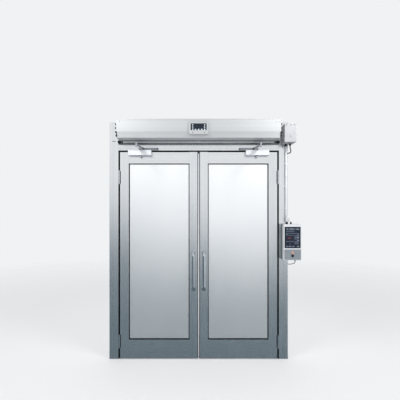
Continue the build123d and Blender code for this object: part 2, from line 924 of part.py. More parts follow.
    # Closer body on the top rail, with its spindle
    closer_high = leaf_top + closer_above_leaf
    closer_low = closer_high - closer_height
    closer_offsets = (hinge_offset - closer_from_hinge, hinge_offset - closer_from_hinge - closer_length)
    closer_x = sorted(across(side, place) for place in closer_offsets)
    with BuildPart() as closer:
        box_between(closer_x, (front - closer_depth, front), (closer_low, closer_high))
        fillet(closer.edges().filter_by(Axis.Z), closer_corner)
        fillet(closer.faces().sort_by(Axis.Z)[-1].edges(), closer_corner / 2)
        drum(spindle[0], spindle[1], closer_high, closer_high + spindle_boss_height, spindle_boss_radius)
        drum(spindle[0], spindle[1], closer_low - spindle_cap_height, closer_low, spindle_cap_radius)
    keep(closer, f"{name}_closer")

    # Main arm: seated on the spindle boss, with the elbow's stub standing up at its end
    boss_top = closer_high + spindle_boss_height
    with BuildPart() as main_arm:
        bar_on_path(spindle, elbow, arm_low, arm_width, arm_elbow_width, arm_thickness)
        drum(spindle[0], spindle[1], boss_top + arm_play, arm_high + arm_hub_cap, arm_hub_radius)
        drum(elbow[0], elbow[1], arm_high, forearm_low - elbow_play, elbow_stub_radius)
    keep(main_arm, f"{name}_main_arm")

    with BuildPart() as forearm:
        bar_on_path(pivot, elbow, forearm_low, forearm_width, forearm_width, arm_thickness)
        drum(elbow[0], elbow[1], forearm_high, forearm_high + forearm_boss_height, forearm_boss_radius)
        drum(pivot[0], pivot[1], forearm_low, forearm_high, shoe_pin_radius + pin_play, mode=Mode.SUBTRACT)
    keep(forearm, f"{name}_forearm")

    # Shoe on the head bar: a long plate, a lug over the forearm's eye and the pivot pin
    with BuildPart() as shoe:
        shoe_near = shoe_pivot_from_hinge - forearm_width / 2
        shoe_x = sorted(
            across(side, hinge_offset - place) for place in (shoe_near, shoe_near + shoe_length)
        )
        lug_low = forearm_high + lug_play
        lug_high = lug_low + shoe_lug_thickness
        lug_root = (pivot[0], front - shoe_lug_root_out)
        box_between(shoe_x, (front - shoe_plate, front), (lug_high - shoe_height, lug_high))
        fillet(shoe.edges().filter_by(Axis.Y), shoe_plate / 2)
        bar_on_path(lug_root, pivot, lug_low, forearm_width, forearm_width, shoe_lug_thickness)
        box_between(
            (pivot[0] - forearm_width, pivot[0] + forearm_width),
            (front, front + forearm_width),
            (lug_low, lug_high),
            mode=Mode.SUBTRACT,
        )
        drum(pivot[0], pivot[1], forearm_low - shoe_pin_head, lug_low, shoe_pin_radius)
        drum(
            pivot[0],
            pivot[1],
            forearm_low - shoe_pin_head - arm_play,
            forearm_low - arm_play,
            shoe_pin_head_radius,
        )
    keep(shoe, f"{name}_shoe")
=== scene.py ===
"""Finishes, fine parts, light and camera for the double-leaf emergency door.

Lengths are in metres in the frame's own axes: +X runs along the doorway to the right, +Y into
the wall and +Z up, and the origin is the middle of the left post's foot.
"""

import logging
import math
from collections.abc import Callable, Iterable
from dataclasses import dataclass, field
from enum import Enum

import bpy
from mathutils import Matrix, Vector


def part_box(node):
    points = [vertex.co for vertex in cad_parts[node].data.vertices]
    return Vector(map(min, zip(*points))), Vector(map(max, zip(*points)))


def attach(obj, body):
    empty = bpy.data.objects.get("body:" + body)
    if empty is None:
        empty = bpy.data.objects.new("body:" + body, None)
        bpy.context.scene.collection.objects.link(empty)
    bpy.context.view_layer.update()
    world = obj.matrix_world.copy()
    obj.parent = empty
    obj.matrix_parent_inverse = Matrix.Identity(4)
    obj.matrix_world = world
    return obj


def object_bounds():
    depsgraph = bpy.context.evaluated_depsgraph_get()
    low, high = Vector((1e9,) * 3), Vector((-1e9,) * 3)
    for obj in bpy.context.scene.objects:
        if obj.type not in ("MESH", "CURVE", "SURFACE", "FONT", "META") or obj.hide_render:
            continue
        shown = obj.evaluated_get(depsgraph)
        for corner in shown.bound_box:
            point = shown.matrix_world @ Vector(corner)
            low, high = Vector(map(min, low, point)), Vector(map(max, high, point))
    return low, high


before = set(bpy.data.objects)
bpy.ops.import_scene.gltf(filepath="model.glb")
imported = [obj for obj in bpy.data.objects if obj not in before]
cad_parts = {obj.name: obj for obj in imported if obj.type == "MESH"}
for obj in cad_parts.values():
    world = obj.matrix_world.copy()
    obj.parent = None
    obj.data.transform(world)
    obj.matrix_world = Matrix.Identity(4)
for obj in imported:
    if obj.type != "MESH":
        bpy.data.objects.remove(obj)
CAD_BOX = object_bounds()

FRONTWARD = Vector((0.0, -1.0, 0.0))
DOWNWARD = Vector((0.0, 0.0, -1.0))
FLAT_DEPTH = 0.0004

log = logging.getLogger("emergency_door")


class Side(Enum):
    """The two halves of the door, as the sign of X from the doorway's middle."""

    LEFT = -1
    RIGHT = 1

    def named(self, part: str) -> str:
        """Give the name of this side's part."""
        return f"{self.name.lower()}_{part}"

    def outer(self, box: "Extent") -> float:
        """Give the X of a box's face on the hinge side."""
        return box.low.x if self is Side.LEFT else box.high.x

    def inner(self, box: "Extent") -> float:
        """Give the X of a box's face towards the doorway's middle."""
        return box.high.x if self is Side.LEFT else box.low.x


class Slot(Enum):
    """The record's material slots."""

    STEEL = "satin_steel"
    HOUSING = "housing_metal"
    BAR = "curtain_aluminium"
    CLOTH = "curtain_cloth"
    GLASS = "frosted_glass"
    RUBBER = "black_rubber"
    BLACK = "black_plastic"
    WINDOW = "dark_window"
    PALE = "pale_plastic"
    CASE = "panel_metal"
    ORANGE = "orange_plastic"
    POLISHED = "polished_steel"
    BRIGHT = "bright_steel"
    ENAMEL = "closer_enamel"


class Grain(Enum):
    """The way a sheet is brushed, as how fast its noise changes along X, Y and Z."""

    UPRIGHT = (700.0, 700.0, 5.0)
    LEVEL = (5.0, 700.0, 700.0)


def shade(red: int, green: int, blue: int) -> tuple[float, float, float, float]:
    """Turn a screen colour into the shader's linear one.

    Args:
        red: Red from 0 to 255.
        green: Green from 0 to 255.
        blue: Blue from 0 to 255.

    Returns:
        The linear colour, with its alpha.
    """
    def straight(level: int) -> float:
        """Undo the screen's curve for one channel."""
        share = level / 255
        return share / 12.92 if share <= 0.04045 else ((share + 0.055) / 1.055) ** 2.4

    return (straight(red), straight(green), straight(blue), 1.0)


class NodeSheet:
    """The nodes of one material, with its Principled shader at the end."""

    def __init__(self, name: str) -> None:
        """Start a material.

        Args:
            name: The material's name.
        """
        self.material = bpy.data.materials.new(name)
        self.material.use_nodes = True
        self.nodes = self.material.node_tree.nodes
        self.links = self.material.node_tree.links
        self.shader = self.nodes["Principled BSDF"]
        self.place = self.nodes.new("ShaderNodeTexCoord").outputs["Object"]

    def set(self, **values: float | tuple) -> None:
        """Set the shader's own sockets.

        Args:
            values: Each socket's value, by its name with _ for each space.
        """
        for name, value in values.items():
            self.shader.inputs[name.replace("_", " ")].default_value = value

    def feed(self, name: str, source: bpy.types.NodeSocket) -> None:
        """Link a socket of the shader.

        Args:
            name: The shader's socket.
            source: What it reads.
        """
        self.links.new(source, self.shader.inputs[name])

    def noise(self, stretch: tuple[float, float, float], detail: float = 2.0) -> bpy.types.NodeSocket:
        """Add noise that changes at its own rate along each axis.

        Args:
            stretch: Changes a metre along X, Y and Z.
            detail: How many finer layers the noise has.

        Returns:
            The noise's value socket.
        """
        mapping = self.nodes.new("ShaderNodeMapping")
        mapping.inputs["Scale"].default_value = stretch
        self.links.new(self.place, mapping.inputs["Vector"])
        noise = self.nodes.new("ShaderNodeTexNoise")
        noise.inputs["Scale"].default_value = 1.0
        noise.inputs["Detail"].default_value = detail
        self.links.new(mapping.outputs["Vector"], noise.inputs["Vector"])
        return noise.outputs["Fac"]

    def weave(self, pitch: float) -> bpy.types.NodeSocket:
        """Add the crossing threads of a plain cloth in the XZ plane.

        Args:
            pitch: The distance from thread to thread.

        Returns:
            The weave's height socket.
        """
        waves = []
        for direction in ("X", "Z"):
            wave = self.nodes.new("ShaderNodeTexWave")
            wave.bands_direction = direction
            wave.inputs["Scale"].default_value = 0.5 / pitch
            self.links.new(self.place, wave.inputs["Vector"])
            waves.append(wave.outputs["Fac"])
        return self.combine("ADD", *waves)

    def combine(self, operation: str, first: bpy.types.NodeSocket,
                second: bpy.types.NodeSocket | float) -> bpy.types.NodeSocket:
        """Work out one number from two.

        Args:
            operation: The Math node's operation.
            first: The first number.
            second: The second number, or a fixed value.

        Returns:
            The result's socket.
        """
        maths = self.nodes.new("ShaderNodeMath")
        maths.operation = operation
        self.links.new(first, maths.inputs[0])
        if isinstance(second, float):
            maths.inputs[1].default_value = second
        else:
            self.links.new(second, maths.inputs[1])
        return maths.outputs["Value"]

    def remap(self, value: bpy.types.NodeSocket, before: tuple[float, float],
              after: tuple[float, float]) -> bpy.types.NodeSocket:
        """Move a value from one range to another and stop it at the ends.

        Args:
            value: The value to move.
            before: The range that it is read in.
            after: The range that it is given out in.

        Returns:
            The moved value's socket.
        """
        node = self.nodes.new("ShaderNodeMapRange")
        self.links.new(value, node.inputs["Value"])
        for name, number in zip(("From Min", "From Max", "To Min", "To Max"), (*before, *after)):
            node.inputs[name].default_value = number
        return node.outputs["Result"]

    def height(self) -> bpy.types.NodeSocket:
        """Give the height above the floor.

        Returns:
            The height's socket.
        """
        split = self.nodes.new("ShaderNodeSeparateXYZ")
        self.links.new(self.place, split.inputs["Vector"])
        return split.outputs["Z"]

    def mix(self, share: bpy.types.NodeSocket, first: tuple | bpy.types.NodeSocket,
            second: tuple) -> bpy.types.NodeSocket:
        """Blend two colours.

        Args:
            share: How much of the second colour shows.
            first: The first colour.
            second: The second colour.

        Returns:
            The blended colour's socket.
        """
        node = self.nodes.new("ShaderNodeMix")
        node.data_type = "RGBA"
        factor, under, over = node.inputs[0], node.inputs[6], node.inputs[7]
        self.links.new(share, factor)
        if isinstance(first, tuple):
            under.default_value = first
        else:
            self.links.new(first, under)
        over.default_value = second
        return node.outputs[2]

    def emboss(self, height: bpy.types.NodeSocket, strength: float, distance: float) -> None:
        """Raise the surface by a height.

        Args:
            height: The height, from 0 to 1.
            strength: How much of it counts.
            distance: The depth that 1 stands for.
        """
        bump = self.nodes.new("ShaderNodeBump")
        bump.inputs["Strength"].default_value = strength
        bump.inputs["Distance"].default_value = distance
        self.links.new(height, bump.inputs["Height"])
        self.feed("Normal", bump.outputs["Normal"])


@dataclass(frozen=True)
class Finish:
    """A finish that pieces are dressed in."""

    name: str
    slot: Slot

    def material(self) -> bpy.types.Material:
        """Build the material at the first call and give the same one after that.

        Returns:
            The material.
        """
        made = bpy.data.materials.get(self.name)
        if made is None:
            sheet = NodeSheet(self.name)
            self.paint(sheet)
            made = sheet.material
        return made

    def paint(self, sheet: NodeSheet) -> None:
        """Lay the finish's nodes on a sheet; each kind of finish has its own way."""
        raise NotImplementedError


@dataclass(frozen=True)
class BrushedMetal(Finish):
    """Sheet metal brushed one way, with soft streaks, hand marks, and a darker foot that is partly dust and
    partly painted shade.
    """

    grain: Grain
    light: tuple[float, float, float, float]
    dark: tuple[float, float, float, float]
    roughness: tuple[float, float] = (0.2, 0.29)
    metallic: float = 1.0
    refraction: float = 1.5
    # Colour of the darker foot: partly dust, partly painted shade along the floor.
    dust_and_shade: tuple[float, float, float, float] = shade(78, 84, 88)
    dust_and_shade_height: float = 0.16
    dust_and_shade_share: float = 0.12
    dust_roughness: float = 0.2
    streak_ratio: float = 18.0
    mark_stretch: tuple[float, float, float] = (7.0, 7.0, 4.0)
    grain_strength: float = 0.12
    grain_depth: float = 0.0002

    def paint(self, sheet: NodeSheet) -> None:
        """Lay the brushing, the streaks and the darker foot, which is partly dust and partly painted shade.

        Args:
            sheet: The sheet that they go on.
        """
        lines = sheet.noise(self.grain.value, detail=4.0)
        streak_stretch = tuple(rate / self.streak_ratio for rate in self.grain.value)
        streaks = sheet.noise(streak_stretch, detail=3.0)
        marks = sheet.noise(self.mark_stretch, detail=5.0)
        metal = sheet.mix(sheet.remap(streaks, (0.3, 0.7), (0.0, 1.0)), self.dark, self.light)
        # Darker towards the floor: partly dust, partly painted shade at the foot.
        low = sheet.remap(sheet.height(), (0.0, self.dust_and_shade_height), (self.dust_and_shade_share, 0.0))
        dust_and_shade_mask = sheet.combine("MULTIPLY", low, sheet.remap(marks, (0.35, 0.7), (0.7, 1.2)))
        sheet.feed("Base Color", sheet.mix(dust_and_shade_mask, metal, self.dust_and_shade))
        rough = sheet.combine("ADD", sheet.remap(lines, (0.3, 0.7), self.roughness),
                              sheet.remap(marks, (0.45, 0.75), (0.0, 0.03)))
        dust_rough = sheet.combine("MULTIPLY", dust_and_shade_mask, self.dust_roughness)
        sheet.feed("Roughness", sheet.combine("ADD", rough, dust_rough))
        sheet.set(Metallic=self.metallic, IOR=self.refraction)
        sheet.emboss(lines, strength=self.grain_strength, distance=self.grain_depth)


@dataclass(frozen=True)
class PlainMetal(Finish):
    """Turned or polished metal with fine scratches."""

    colour: tuple[float, float, float, float]
    roughness: tuple[float, float]
    worn_share: float = 0.86
    scratch_stretch: tuple[float, float, float] = (260.0, 260.0, 60.0)
    smear_stretch: tuple[float, float, float] = (24.0, 24.0, 9.0)

    def paint(self, sheet: NodeSheet) -> None:
        """Lay the scratches over the metal.

        Args:
            sheet: The sheet that they go on.
        """
        scratches = sheet.noise(self.scratch_stretch, detail=5.0)
        smears = sheet.noise(self.smear_stretch, detail=3.0)
        worn = tuple(self.worn_share * part for part in self.colour[:3]) + (1.0,)
        smeared = sheet.remap(smears, (0.4, 0.75), (0.0, 1.0))
        sheet.feed("Base Color", sheet.mix(smeared, self.colour, worn))
        sheet.feed("Roughness", sheet.remap(scratches, (0.3, 0.75), self.roughness))
        sheet.set(Metallic=1.0)
        sheet.emboss(scratches, strength=0.06, distance=0.0002)


@dataclass(frozen=True)
class Coated(Finish):
    """Paint, enamel or moulded plastic with a fine skin."""

    colour: tuple[float, float, float, float]
    roughness: tuple[float, float] = (0.38, 0.5)
    skin: float = 900.0
    skin_depth: float = 0.00015
    metallic: float = 0.0
    refraction: float = 1.5
    patch_rate: float = 11.0
    fade_share: float = 0.9
    fade_lift: float = 0.006

    def paint(self, sheet: NodeSheet) -> None:
        """Lay the skin and a slight unevenness of colour.

        Args:
            sheet: The sheet that they go on.
        """
        skin = sheet.noise((self.skin,) * 3, detail=2.0)
        patches = sheet.noise((self.patch_rate,) * 3, detail=4.0)
        faded = tuple(min(1.0, self.fade_share * part + self.fade_lift) for part in self.colour[:3]) + (1.0,)
        patchy = sheet.remap(patches, (0.4, 0.7), (0.0, 1.0))
        sheet.feed("Base Color", sheet.mix(patchy, self.colour, faded))
        sheet.feed("Roughness", sheet.remap(patches, (0.3, 0.7), self.roughness))
        sheet.set(Metallic=self.metallic, IOR=self.refraction)
        sheet.emboss(skin, strength=0.25, distance=self.skin_depth)


@dataclass(frozen=True)
class FrostedPanel(Finish):
    """A white frosted sheet with a silvered back, so that it mirrors the room softly."""

    colour: tuple[float, float, float, float] = shade(249, 250, 251)
    clouded: tuple[float, float, float, float] = shade(243, 245, 247)
    roughness: tuple[float, float] = (0.24, 0.3)
    silvering: float = 0.8
    refraction: float = 1.49
    frost_rate: float = 1300.0
    cloud_stretch: tuple[float, float, float] = (3.0, 3.0, 1.6)

    def paint(self, sheet: NodeSheet) -> None:
        """Lay the frosting and its faint clouds.

        Args:
            sheet: The sheet that they go on.
        """
        frost = sheet.noise((self.frost_rate,) * 3, detail=2.0)
        clouds = sheet.noise(self.cloud_stretch, detail=4.0)
        cloudy = sheet.remap(clouds, (0.35, 0.7), (0.0, 1.0))
        sheet.feed("Base Color", sheet.mix(cloudy, self.colour, self.clouded))
        sheet.feed("Roughness", sheet.remap(frost, (0.3, 0.7), self.roughness))
        sheet.set(IOR=self.refraction, Metallic=self.silvering)
        sheet.emboss(frost, strength=0.1, distance=0.0001)


@dataclass(frozen=True)
class WovenCloth(Finish):
    """The curtain's coated cloth."""

    colour: tuple[float, float, float, float] = shade(176, 180, 182)
    thread_pitch: float = 0.0016
    shadow_share: float = 0.72

    def paint(self, sheet: NodeSheet) -> None:
        """Lay the weave under the coating.

        Args:
            sheet: The sheet that it goes on.
        """
        weave = sheet.weave(self.thread_pitch)
        shadow = tuple(self.shadow_share * part for part in self.colour[:3]) + (1.0,)
        sunk = sheet.remap(weave, (0.4, 1.6), (1.0, 0.0))
        sheet.feed("Base Color", sheet.mix(sunk, self.colour, shadow))
        sheet.set(Roughness=0.7, Sheen_Weight=0.15)
        sheet.emboss(weave, strength=0.5, distance=0.0004)


POST_STEEL = BrushedMetal("post_steel", Slot.STEEL, Grain.UPRIGHT, shade(235, 237, 239), shade(226, 229, 232))
BEAM_STEEL = BrushedMetal("beam_steel", Slot.STEEL, Grain.LEVEL, shade(235, 237, 239), shade(226, 229, 232))
HOOD_SHEET = BrushedMetal("hood_sheet", Slot.HOUSING, Grain.LEVEL, shade(174, 175, 176), shade(164, 166, 168),
                          roughness=(0.34, 0.44), metallic=0.1, refraction=1.8)
BAR_METAL = BrushedMetal("bar_metal", Slot.BAR, Grain.LEVEL, shade(234, 238, 241), shade(224, 229, 233),
                         roughness=(0.34, 0.42), metallic=0.2)
CURTAIN = WovenCloth("curtain_weave", Slot.CLOTH)
FROSTED = FrostedPanel("frosted_sheet", Slot.GLASS)
RUBBER = Coated("black_rubber_skin", Slot.RUBBER, shade(14, 15, 17), roughness=(0.62, 0.78), skin=700.0,
                refraction=1.16)
GREY_RUBBER = Coated("grey_rubber_skin", Slot.RUBBER, shade(120, 124, 129), roughness=(0.34, 0.42),
                     skin=700.0, metallic=0.7)
BLACK = Coated("black_moulding", Slot.BLACK, shade(14, 15, 17), roughness=(0.36, 0.48), refraction=1.3)
WINDOW = Coated("dark_glass", Slot.WINDOW, shade(24, 32, 43), roughness=(0.14, 0.22), skin=60.0,
                skin_depth=0.00002, refraction=1.28)
PALE = Coated("pale_moulding", Slot.PALE, shade(196, 198, 201), roughness=(0.36, 0.48))
# A darker copy of the pale moulding for the junction box: painted shade that offsets the right hood lamp's
# light on it.
BOX_PALE_SHADED = Coated("box_moulding", Slot.PALE, shade(150, 151, 154), roughness=(0.4, 0.5))
CASE = Coated("case_paint", Slot.CASE, shade(150, 158, 164), roughness=(0.4, 0.52), skin=1200.0, metallic=0.6)
CASE_LIGHT = Coated("case_light_paint", Slot.CASE, shade(208, 211, 214), roughness=(0.4, 0.52), skin=1200.0,
                    metallic=0.25)
CASE_DARK = Coated("case_dark_paint", Slot.CASE, shade(156, 168, 170), roughness=(0.4, 0.52), skin=1200.0,
                   metallic=0.6)
ORANGE = Coated("orange_moulding", Slot.ORANGE, shade(186, 108, 84), roughness=(0.3, 0.4))
BUTTON_GREY = Coated("button_grey", Slot.ORANGE, shade(176, 172, 172), roughness=(0.3, 0.4))
POLISHED = PlainMetal("polished_bar", Slot.POLISHED, shade(204, 209, 214), (0.08, 0.16))
BRIGHT = PlainMetal("bright_turned", Slot.BRIGHT, shade(206, 210, 214), (0.2, 0.34))
DULL = PlainMetal("dull_plate", Slot.BRIGHT, shade(158, 164, 170), (0.3, 0.42))
ENAMEL = Coated("closer_paint", Slot.ENAMEL, shade(218, 221, 224), roughness=(0.3, 0.4), skin=1500.0,
                skin_depth=0.0001, metallic=0.4)
PRINT_GREY = Coated("print_grey", Slot.WINDOW, shade(64, 72, 88), roughness=(0.4, 0.5), refraction=1.35)
PRINT_PALE = Coated("print_pale", Slot.WINDOW, shade(136, 146, 160), roughness=(0.4, 0.5), refraction=1.35)
PRINT_RED = Coated("print_red", Slot.WINDOW, shade(106, 52, 64), roughness=(0.4, 0.5), refraction=1.35)
LENS_WHITE = Coated("lens_white", Slot.WINDOW, shade(196, 204, 212), roughness=(0.4, 0.5), refraction=1.35)


@dataclass(frozen=True)
class Extent:
    """The box that a node fills."""

    low: Vector
    high: Vector

    @classmethod
    def of(cls, node: str) -> "Extent":
        """Read a node's box from the frame."""
        return cls(*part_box(node))

    @property
    def middle(self) -> Vector:
        """The middle of the box."""
        return (self.low + self.high) / 2


def settle() -> None:
    """Leave edit mode and select nothing."""
    if bpy.context.object is not None and bpy.context.object.mode != "OBJECT":
        bpy.ops.object.mode_set(mode="OBJECT")
    bpy.ops.object.select_all(action="DESELECT")


def take(piece: bpy.types.Object) -> None:
    """Select one piece and make it the active one.

    Args:
        piece: The piece.
    """
    settle()
    piece.select_set(True)
    bpy.context.view_layer.objects.active = piece


def fix_place(piece: bpy.types.Object) -> None:
    """Move a piece's place, turn and size into its mesh."""
    take(piece)
    bpy.ops.object.transform_apply(location=True, rotation=True, scale=True)


def block(low: Vector, high: Vector) -> bpy.types.Object:
    """Add a block between two corners.

    Args:
        low: Its lowest corner.
        high: Its highest corner.

    Returns:
        The block.
    """
    settle()
    bpy.ops.mesh.primitive_cube_add(size=1.0, location=(low + high) / 2, scale=high - low)
    piece = bpy.context.object
    fix_place(piece)
    return piece


def disc(radius: float, height: float, sides: int = 24) -> bpy.types.Object:
    """Add a round blank that stands on the plane Y = 0 and faces -Y.

    Args:
        radius: Its radius.
        height: How far it stands out.
        sides: Its number of sides.

    Returns:
        The blank.
    """
    settle()
    bpy.ops.mesh.primitive_cylinder_add(vertices=sides, radius=radius, depth=height,
                                        location=(0.0, -height / 2, 0.0), rotation=(math.pi / 2, 0.0, 0.0))
    piece = bpy.context.object
    fix_place(piece)
    return piece


def pick_faces(piece: bpy.types.Object, test: Callable[[Vector, Vector], bool]) -> None:
    """Select, in edit mode, only the faces that pass a test.

    Args:
        piece: The piece.
        test: Takes a face's centre and normal and says whether it is wanted.
    """
    take(piece)
    bpy.ops.object.mode_set(mode="EDIT")
    bpy.ops.mesh.select_mode(type="FACE")
    bpy.ops.mesh.select_all(action="DESELECT")
    bpy.ops.object.mode_set(mode="OBJECT")
    for face in piece.data.polygons:
        face.select = test(face.center, face.normal)
    bpy.ops.object.mode_set(mode="EDIT")


def soften(piece: bpy.types.Object, width: float, segments: int = 2) -> None:
    """Round a piece's edges.

    Args:
        piece: The piece.
        width: The round's width.
        segments: The round's number of facets.
    """
    take(piece)
    bevel = piece.modifiers.new("soften", "BEVEL")
    bevel.width = width
    bevel.segments = segments
    bevel.limit_method = "ANGLE"
    bpy.ops.object.modifier_apply(modifier=bevel.name)


def facing(point: Vector, direction: Vector) -> Matrix:
    """Give the place of a part that was made at the origin facing -Y.

    Args:
        point: Where it sits.
        direction: Where it faces.

    Returns:
        The matrix that puts it there.
    """
    turn = FRONTWARD.rotation_difference(direction).to_matrix().to_4x4()
    return Matrix.Translation(point) @ turn


def set_out(pattern: bpy.types.Object, places: Iterable[Matrix]) -> bpy.types.Object:
    """Copy a pattern to several places as one piece and delete the pattern.

    Args:
        pattern: The part that repeats, made at the origin.
        places: Where the copies go.

    Returns:
        The joined copies.
    """
    copies = []
    for place in places:
        mesh = pattern.data.copy()
        mesh.transform(place)
        copy = bpy.data.objects.new(pattern.name, mesh)
        bpy.context.collection.objects.link(copy)
        copies.append(copy)
    bpy.data.objects.remove(pattern)
    return joined(copies)


def joined(parts: list[bpy.types.Object]) -> bpy.types.Object:
    """Join parts into one piece.

    Args:
        parts: The parts, of which the first one takes in the others.

    Returns:
        The joined piece.
    """
    take(parts[0])
    for part in parts:
        part.select_set(True)
    if len(parts) > 1:
        bpy.ops.object.join()
    return parts[0]


def deliver(piece: bpy.types.Object, name: str, finish: Finish, body: str) -> bpy.types.Object:
    """Name and dress a finished piece and let it ride on its body.

    Args:
        piece: The modelled piece.
        name: Its name.
        finish: Its finish.
        body: The body that carries it.

    Returns:
        The piece.
    """
    fix_place(piece)
    bpy.ops.object.shade_smooth_by_angle(angle=math.radians(35))
    piece.name = name
    piece.data.name = name
    piece.data.materials.clear()
    piece.data.materials.append(finish.material())
    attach(piece, body)
    log.info("piece %s on %s: %d faces", name, body, len(piece.data.polygons))
    return piece


def dress(finish: Finish, *nodes: str) -> None:
    """Give CAD nodes a finish.

    Args:
        finish: The finish.
        nodes: The nodes' names.
    """
    for node in nodes:
        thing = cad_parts[node]
        for slot in thing.material_slots:
            slot.material = finish.material()
        log.info("dressed %s in %s", node, finish.name)


@dataclass
class ScrewHead:
    """A round screw head with a rounded rim and a hexagon socket."""

    radius: float = 0.0045
    height: float = 0.002
    rim: float = 0.0008
    socket_share: float = 0.5
    socket_depth: float = 0.0011

    def model(self) -> bpy.types.Object:
        """Model the head at the origin, facing -Y.

        Returns:
            The head.
        """
        head = disc(self.radius, self.height)
        pick_faces(head, lambda centre, normal: normal.y < -0.9)
        bpy.ops.mesh.bevel(offset=self.rim, segments=3, affect="EDGES")
        pick_faces(head, lambda centre, normal: normal.y < -0.99 and centre.y < 0.01 - self.height)
        bpy.ops.mesh.inset(thickness=(self.radius - self.rim) * (1 - self.socket_share))
        bpy.ops.mesh.extrude_region_move(TRANSFORM_OT_translate={"value": (0.0, self.socket_depth, 0.0)})
        settle()
        return head

    def drive(self, name: str, places: Iterable[tuple[Vector, Vector]], finish: Finish, body: str) -> None:
        """Put the screw at several places.

        Args:
            name: The piece's name.
            places: Each screw's seat and the way it faces.
            finish: The screws' finish.
            body: The body that they hold on.
        """
        seats = [facing(point, direction) for point, direction in places]
        deliver(set_out(self.model(), seats), name, finish, body)


@dataclass
class Ring:
    """A flat ring with rounded edges."""

    outer: float
    inner: float
    height: float
    rim: float = 0.0006

    def model(self) -> bpy.types.Object:
        """Model the ring at the origin, facing -Y.

        Returns:
            The ring.
        """
        ring = disc(self.outer, self.height, sides=40)
        pick_faces(ring, lambda centre, normal: abs(normal.y) > 0.9)
        bpy.ops.mesh.inset(thickness=self.outer - self.inner, use_individual=True)
        bpy.ops.mesh.bridge_edge_loops()
        settle()
        soften(ring, self.rim)
        return ring


@dataclass
class DomeNut:
    """A round nut with a domed end."""

    radius: float
    height: float
    dome: float

    def model(self) -> bpy.types.Object:
        """Model the nut at the origin, facing -Y.

        Returns:
            The nut.
        """
        nut = disc(self.radius, self.height, sides=28)
        steps = 4
        for step in range(1, steps + 1):
            turn = math.pi / 2 * step / (steps + 0.4)
            before = math.pi / 2 * (step - 1) / (steps + 0.4)
            rise = self.dome * (math.sin(turn) - math.sin(before))
            shrink = math.cos(turn) / math.cos(before)
            far = min(vertex.co.y for vertex in nut.data.vertices)
            pick_faces(nut, lambda centre, normal, far=far: centre.y < far + 1e-6)
            bpy.ops.mesh.extrude_region_move(TRANSFORM_OT_translate={"value": (0.0, -rise, 0.0)})
            bpy.ops.transform.resize(value=(shrink, 1.0, shrink), center_override=(0.0, 0.0, 0.0))
            settle()
        return nut


@dataclass
class FixedFrame:
    """The posts and the head bar between them, with the rubber that lines their rebate and dark lips that
    paint the gap's shadow.
    """

    slot_length: float = 0.038
    slot_width: float = 0.005
    slot_height: float = 2.209
    screw_x: float = 1.600
    screw_height: float = 2.153
    lip_width: float = 0.003
    lip_depth: float = 0.004

    def build(self) -> None:
        """Dress the steel and the rubber and add the small parts."""
        dress(POST_STEEL, "left_post", "right_post", "post_caps")
        dress(BEAM_STEEL, "head_bar")
        dress(RUBBER, "left_stop_seal", "right_stop_seal", "head_stop_seal")
        self.add_rebate_shadow_lips()
        self.add_slot_plug()
        self.add_bar_screw()

    def add_rebate_shadow_lips(self) -> None:
        """Add the dark rubber lips that edge the rebate round the leaves, painting the shadow of the gap
        there.
        """
        seal = Extent.of("head_stop_seal")
        bar = Extent.of("head_bar")
        left, right, top = bar.low.x, bar.high.x, seal.high.z
        front, back = bar.low.y - FLAT_DEPTH, bar.low.y + self.lip_depth
        width = self.lip_width
        lips = []
        for low_x, high_x, low_z, high_z in (
            (left - width, left, 0.0, top + width),
            (right, right + width, 0.0, top + width),
            (left, right, top, top + width),
        ):
            lip = block(Vector((low_x, front, low_z)), Vector((high_x, back, high_z)))
            soften(lip, FLAT_DEPTH)
            lips.append(lip)
        deliver(joined(lips), "rebate_lips", RUBBER, "frame")

    def add_slot_plug(self) -> None:
        """Add the dark plug in the slot near the left post's top, over the middle of its foot."""
        centre = Vector((0.0, Extent.of("left_post").low.y, self.slot_height))
        half = Vector((self.slot_length / 2, FLAT_DEPTH, self.slot_width / 2))
        plug = block(centre - half, centre + half)
        soften(plug, self.slot_width / 3, segments=3)
        deliver(plug, "post_slot_plug", BLACK, "frame")

    def add_bar_screw(self) -> None:
        """Add the screw near the head bar's right end."""
        seat = Vector((self.screw_x, Extent.of("head_bar").low.y, self.screw_height))
        ScrewHead(radius=0.0035, height=0.001).drive("head_bar_screw", [(seat, FRONTWARD)], BRIGHT, "frame")


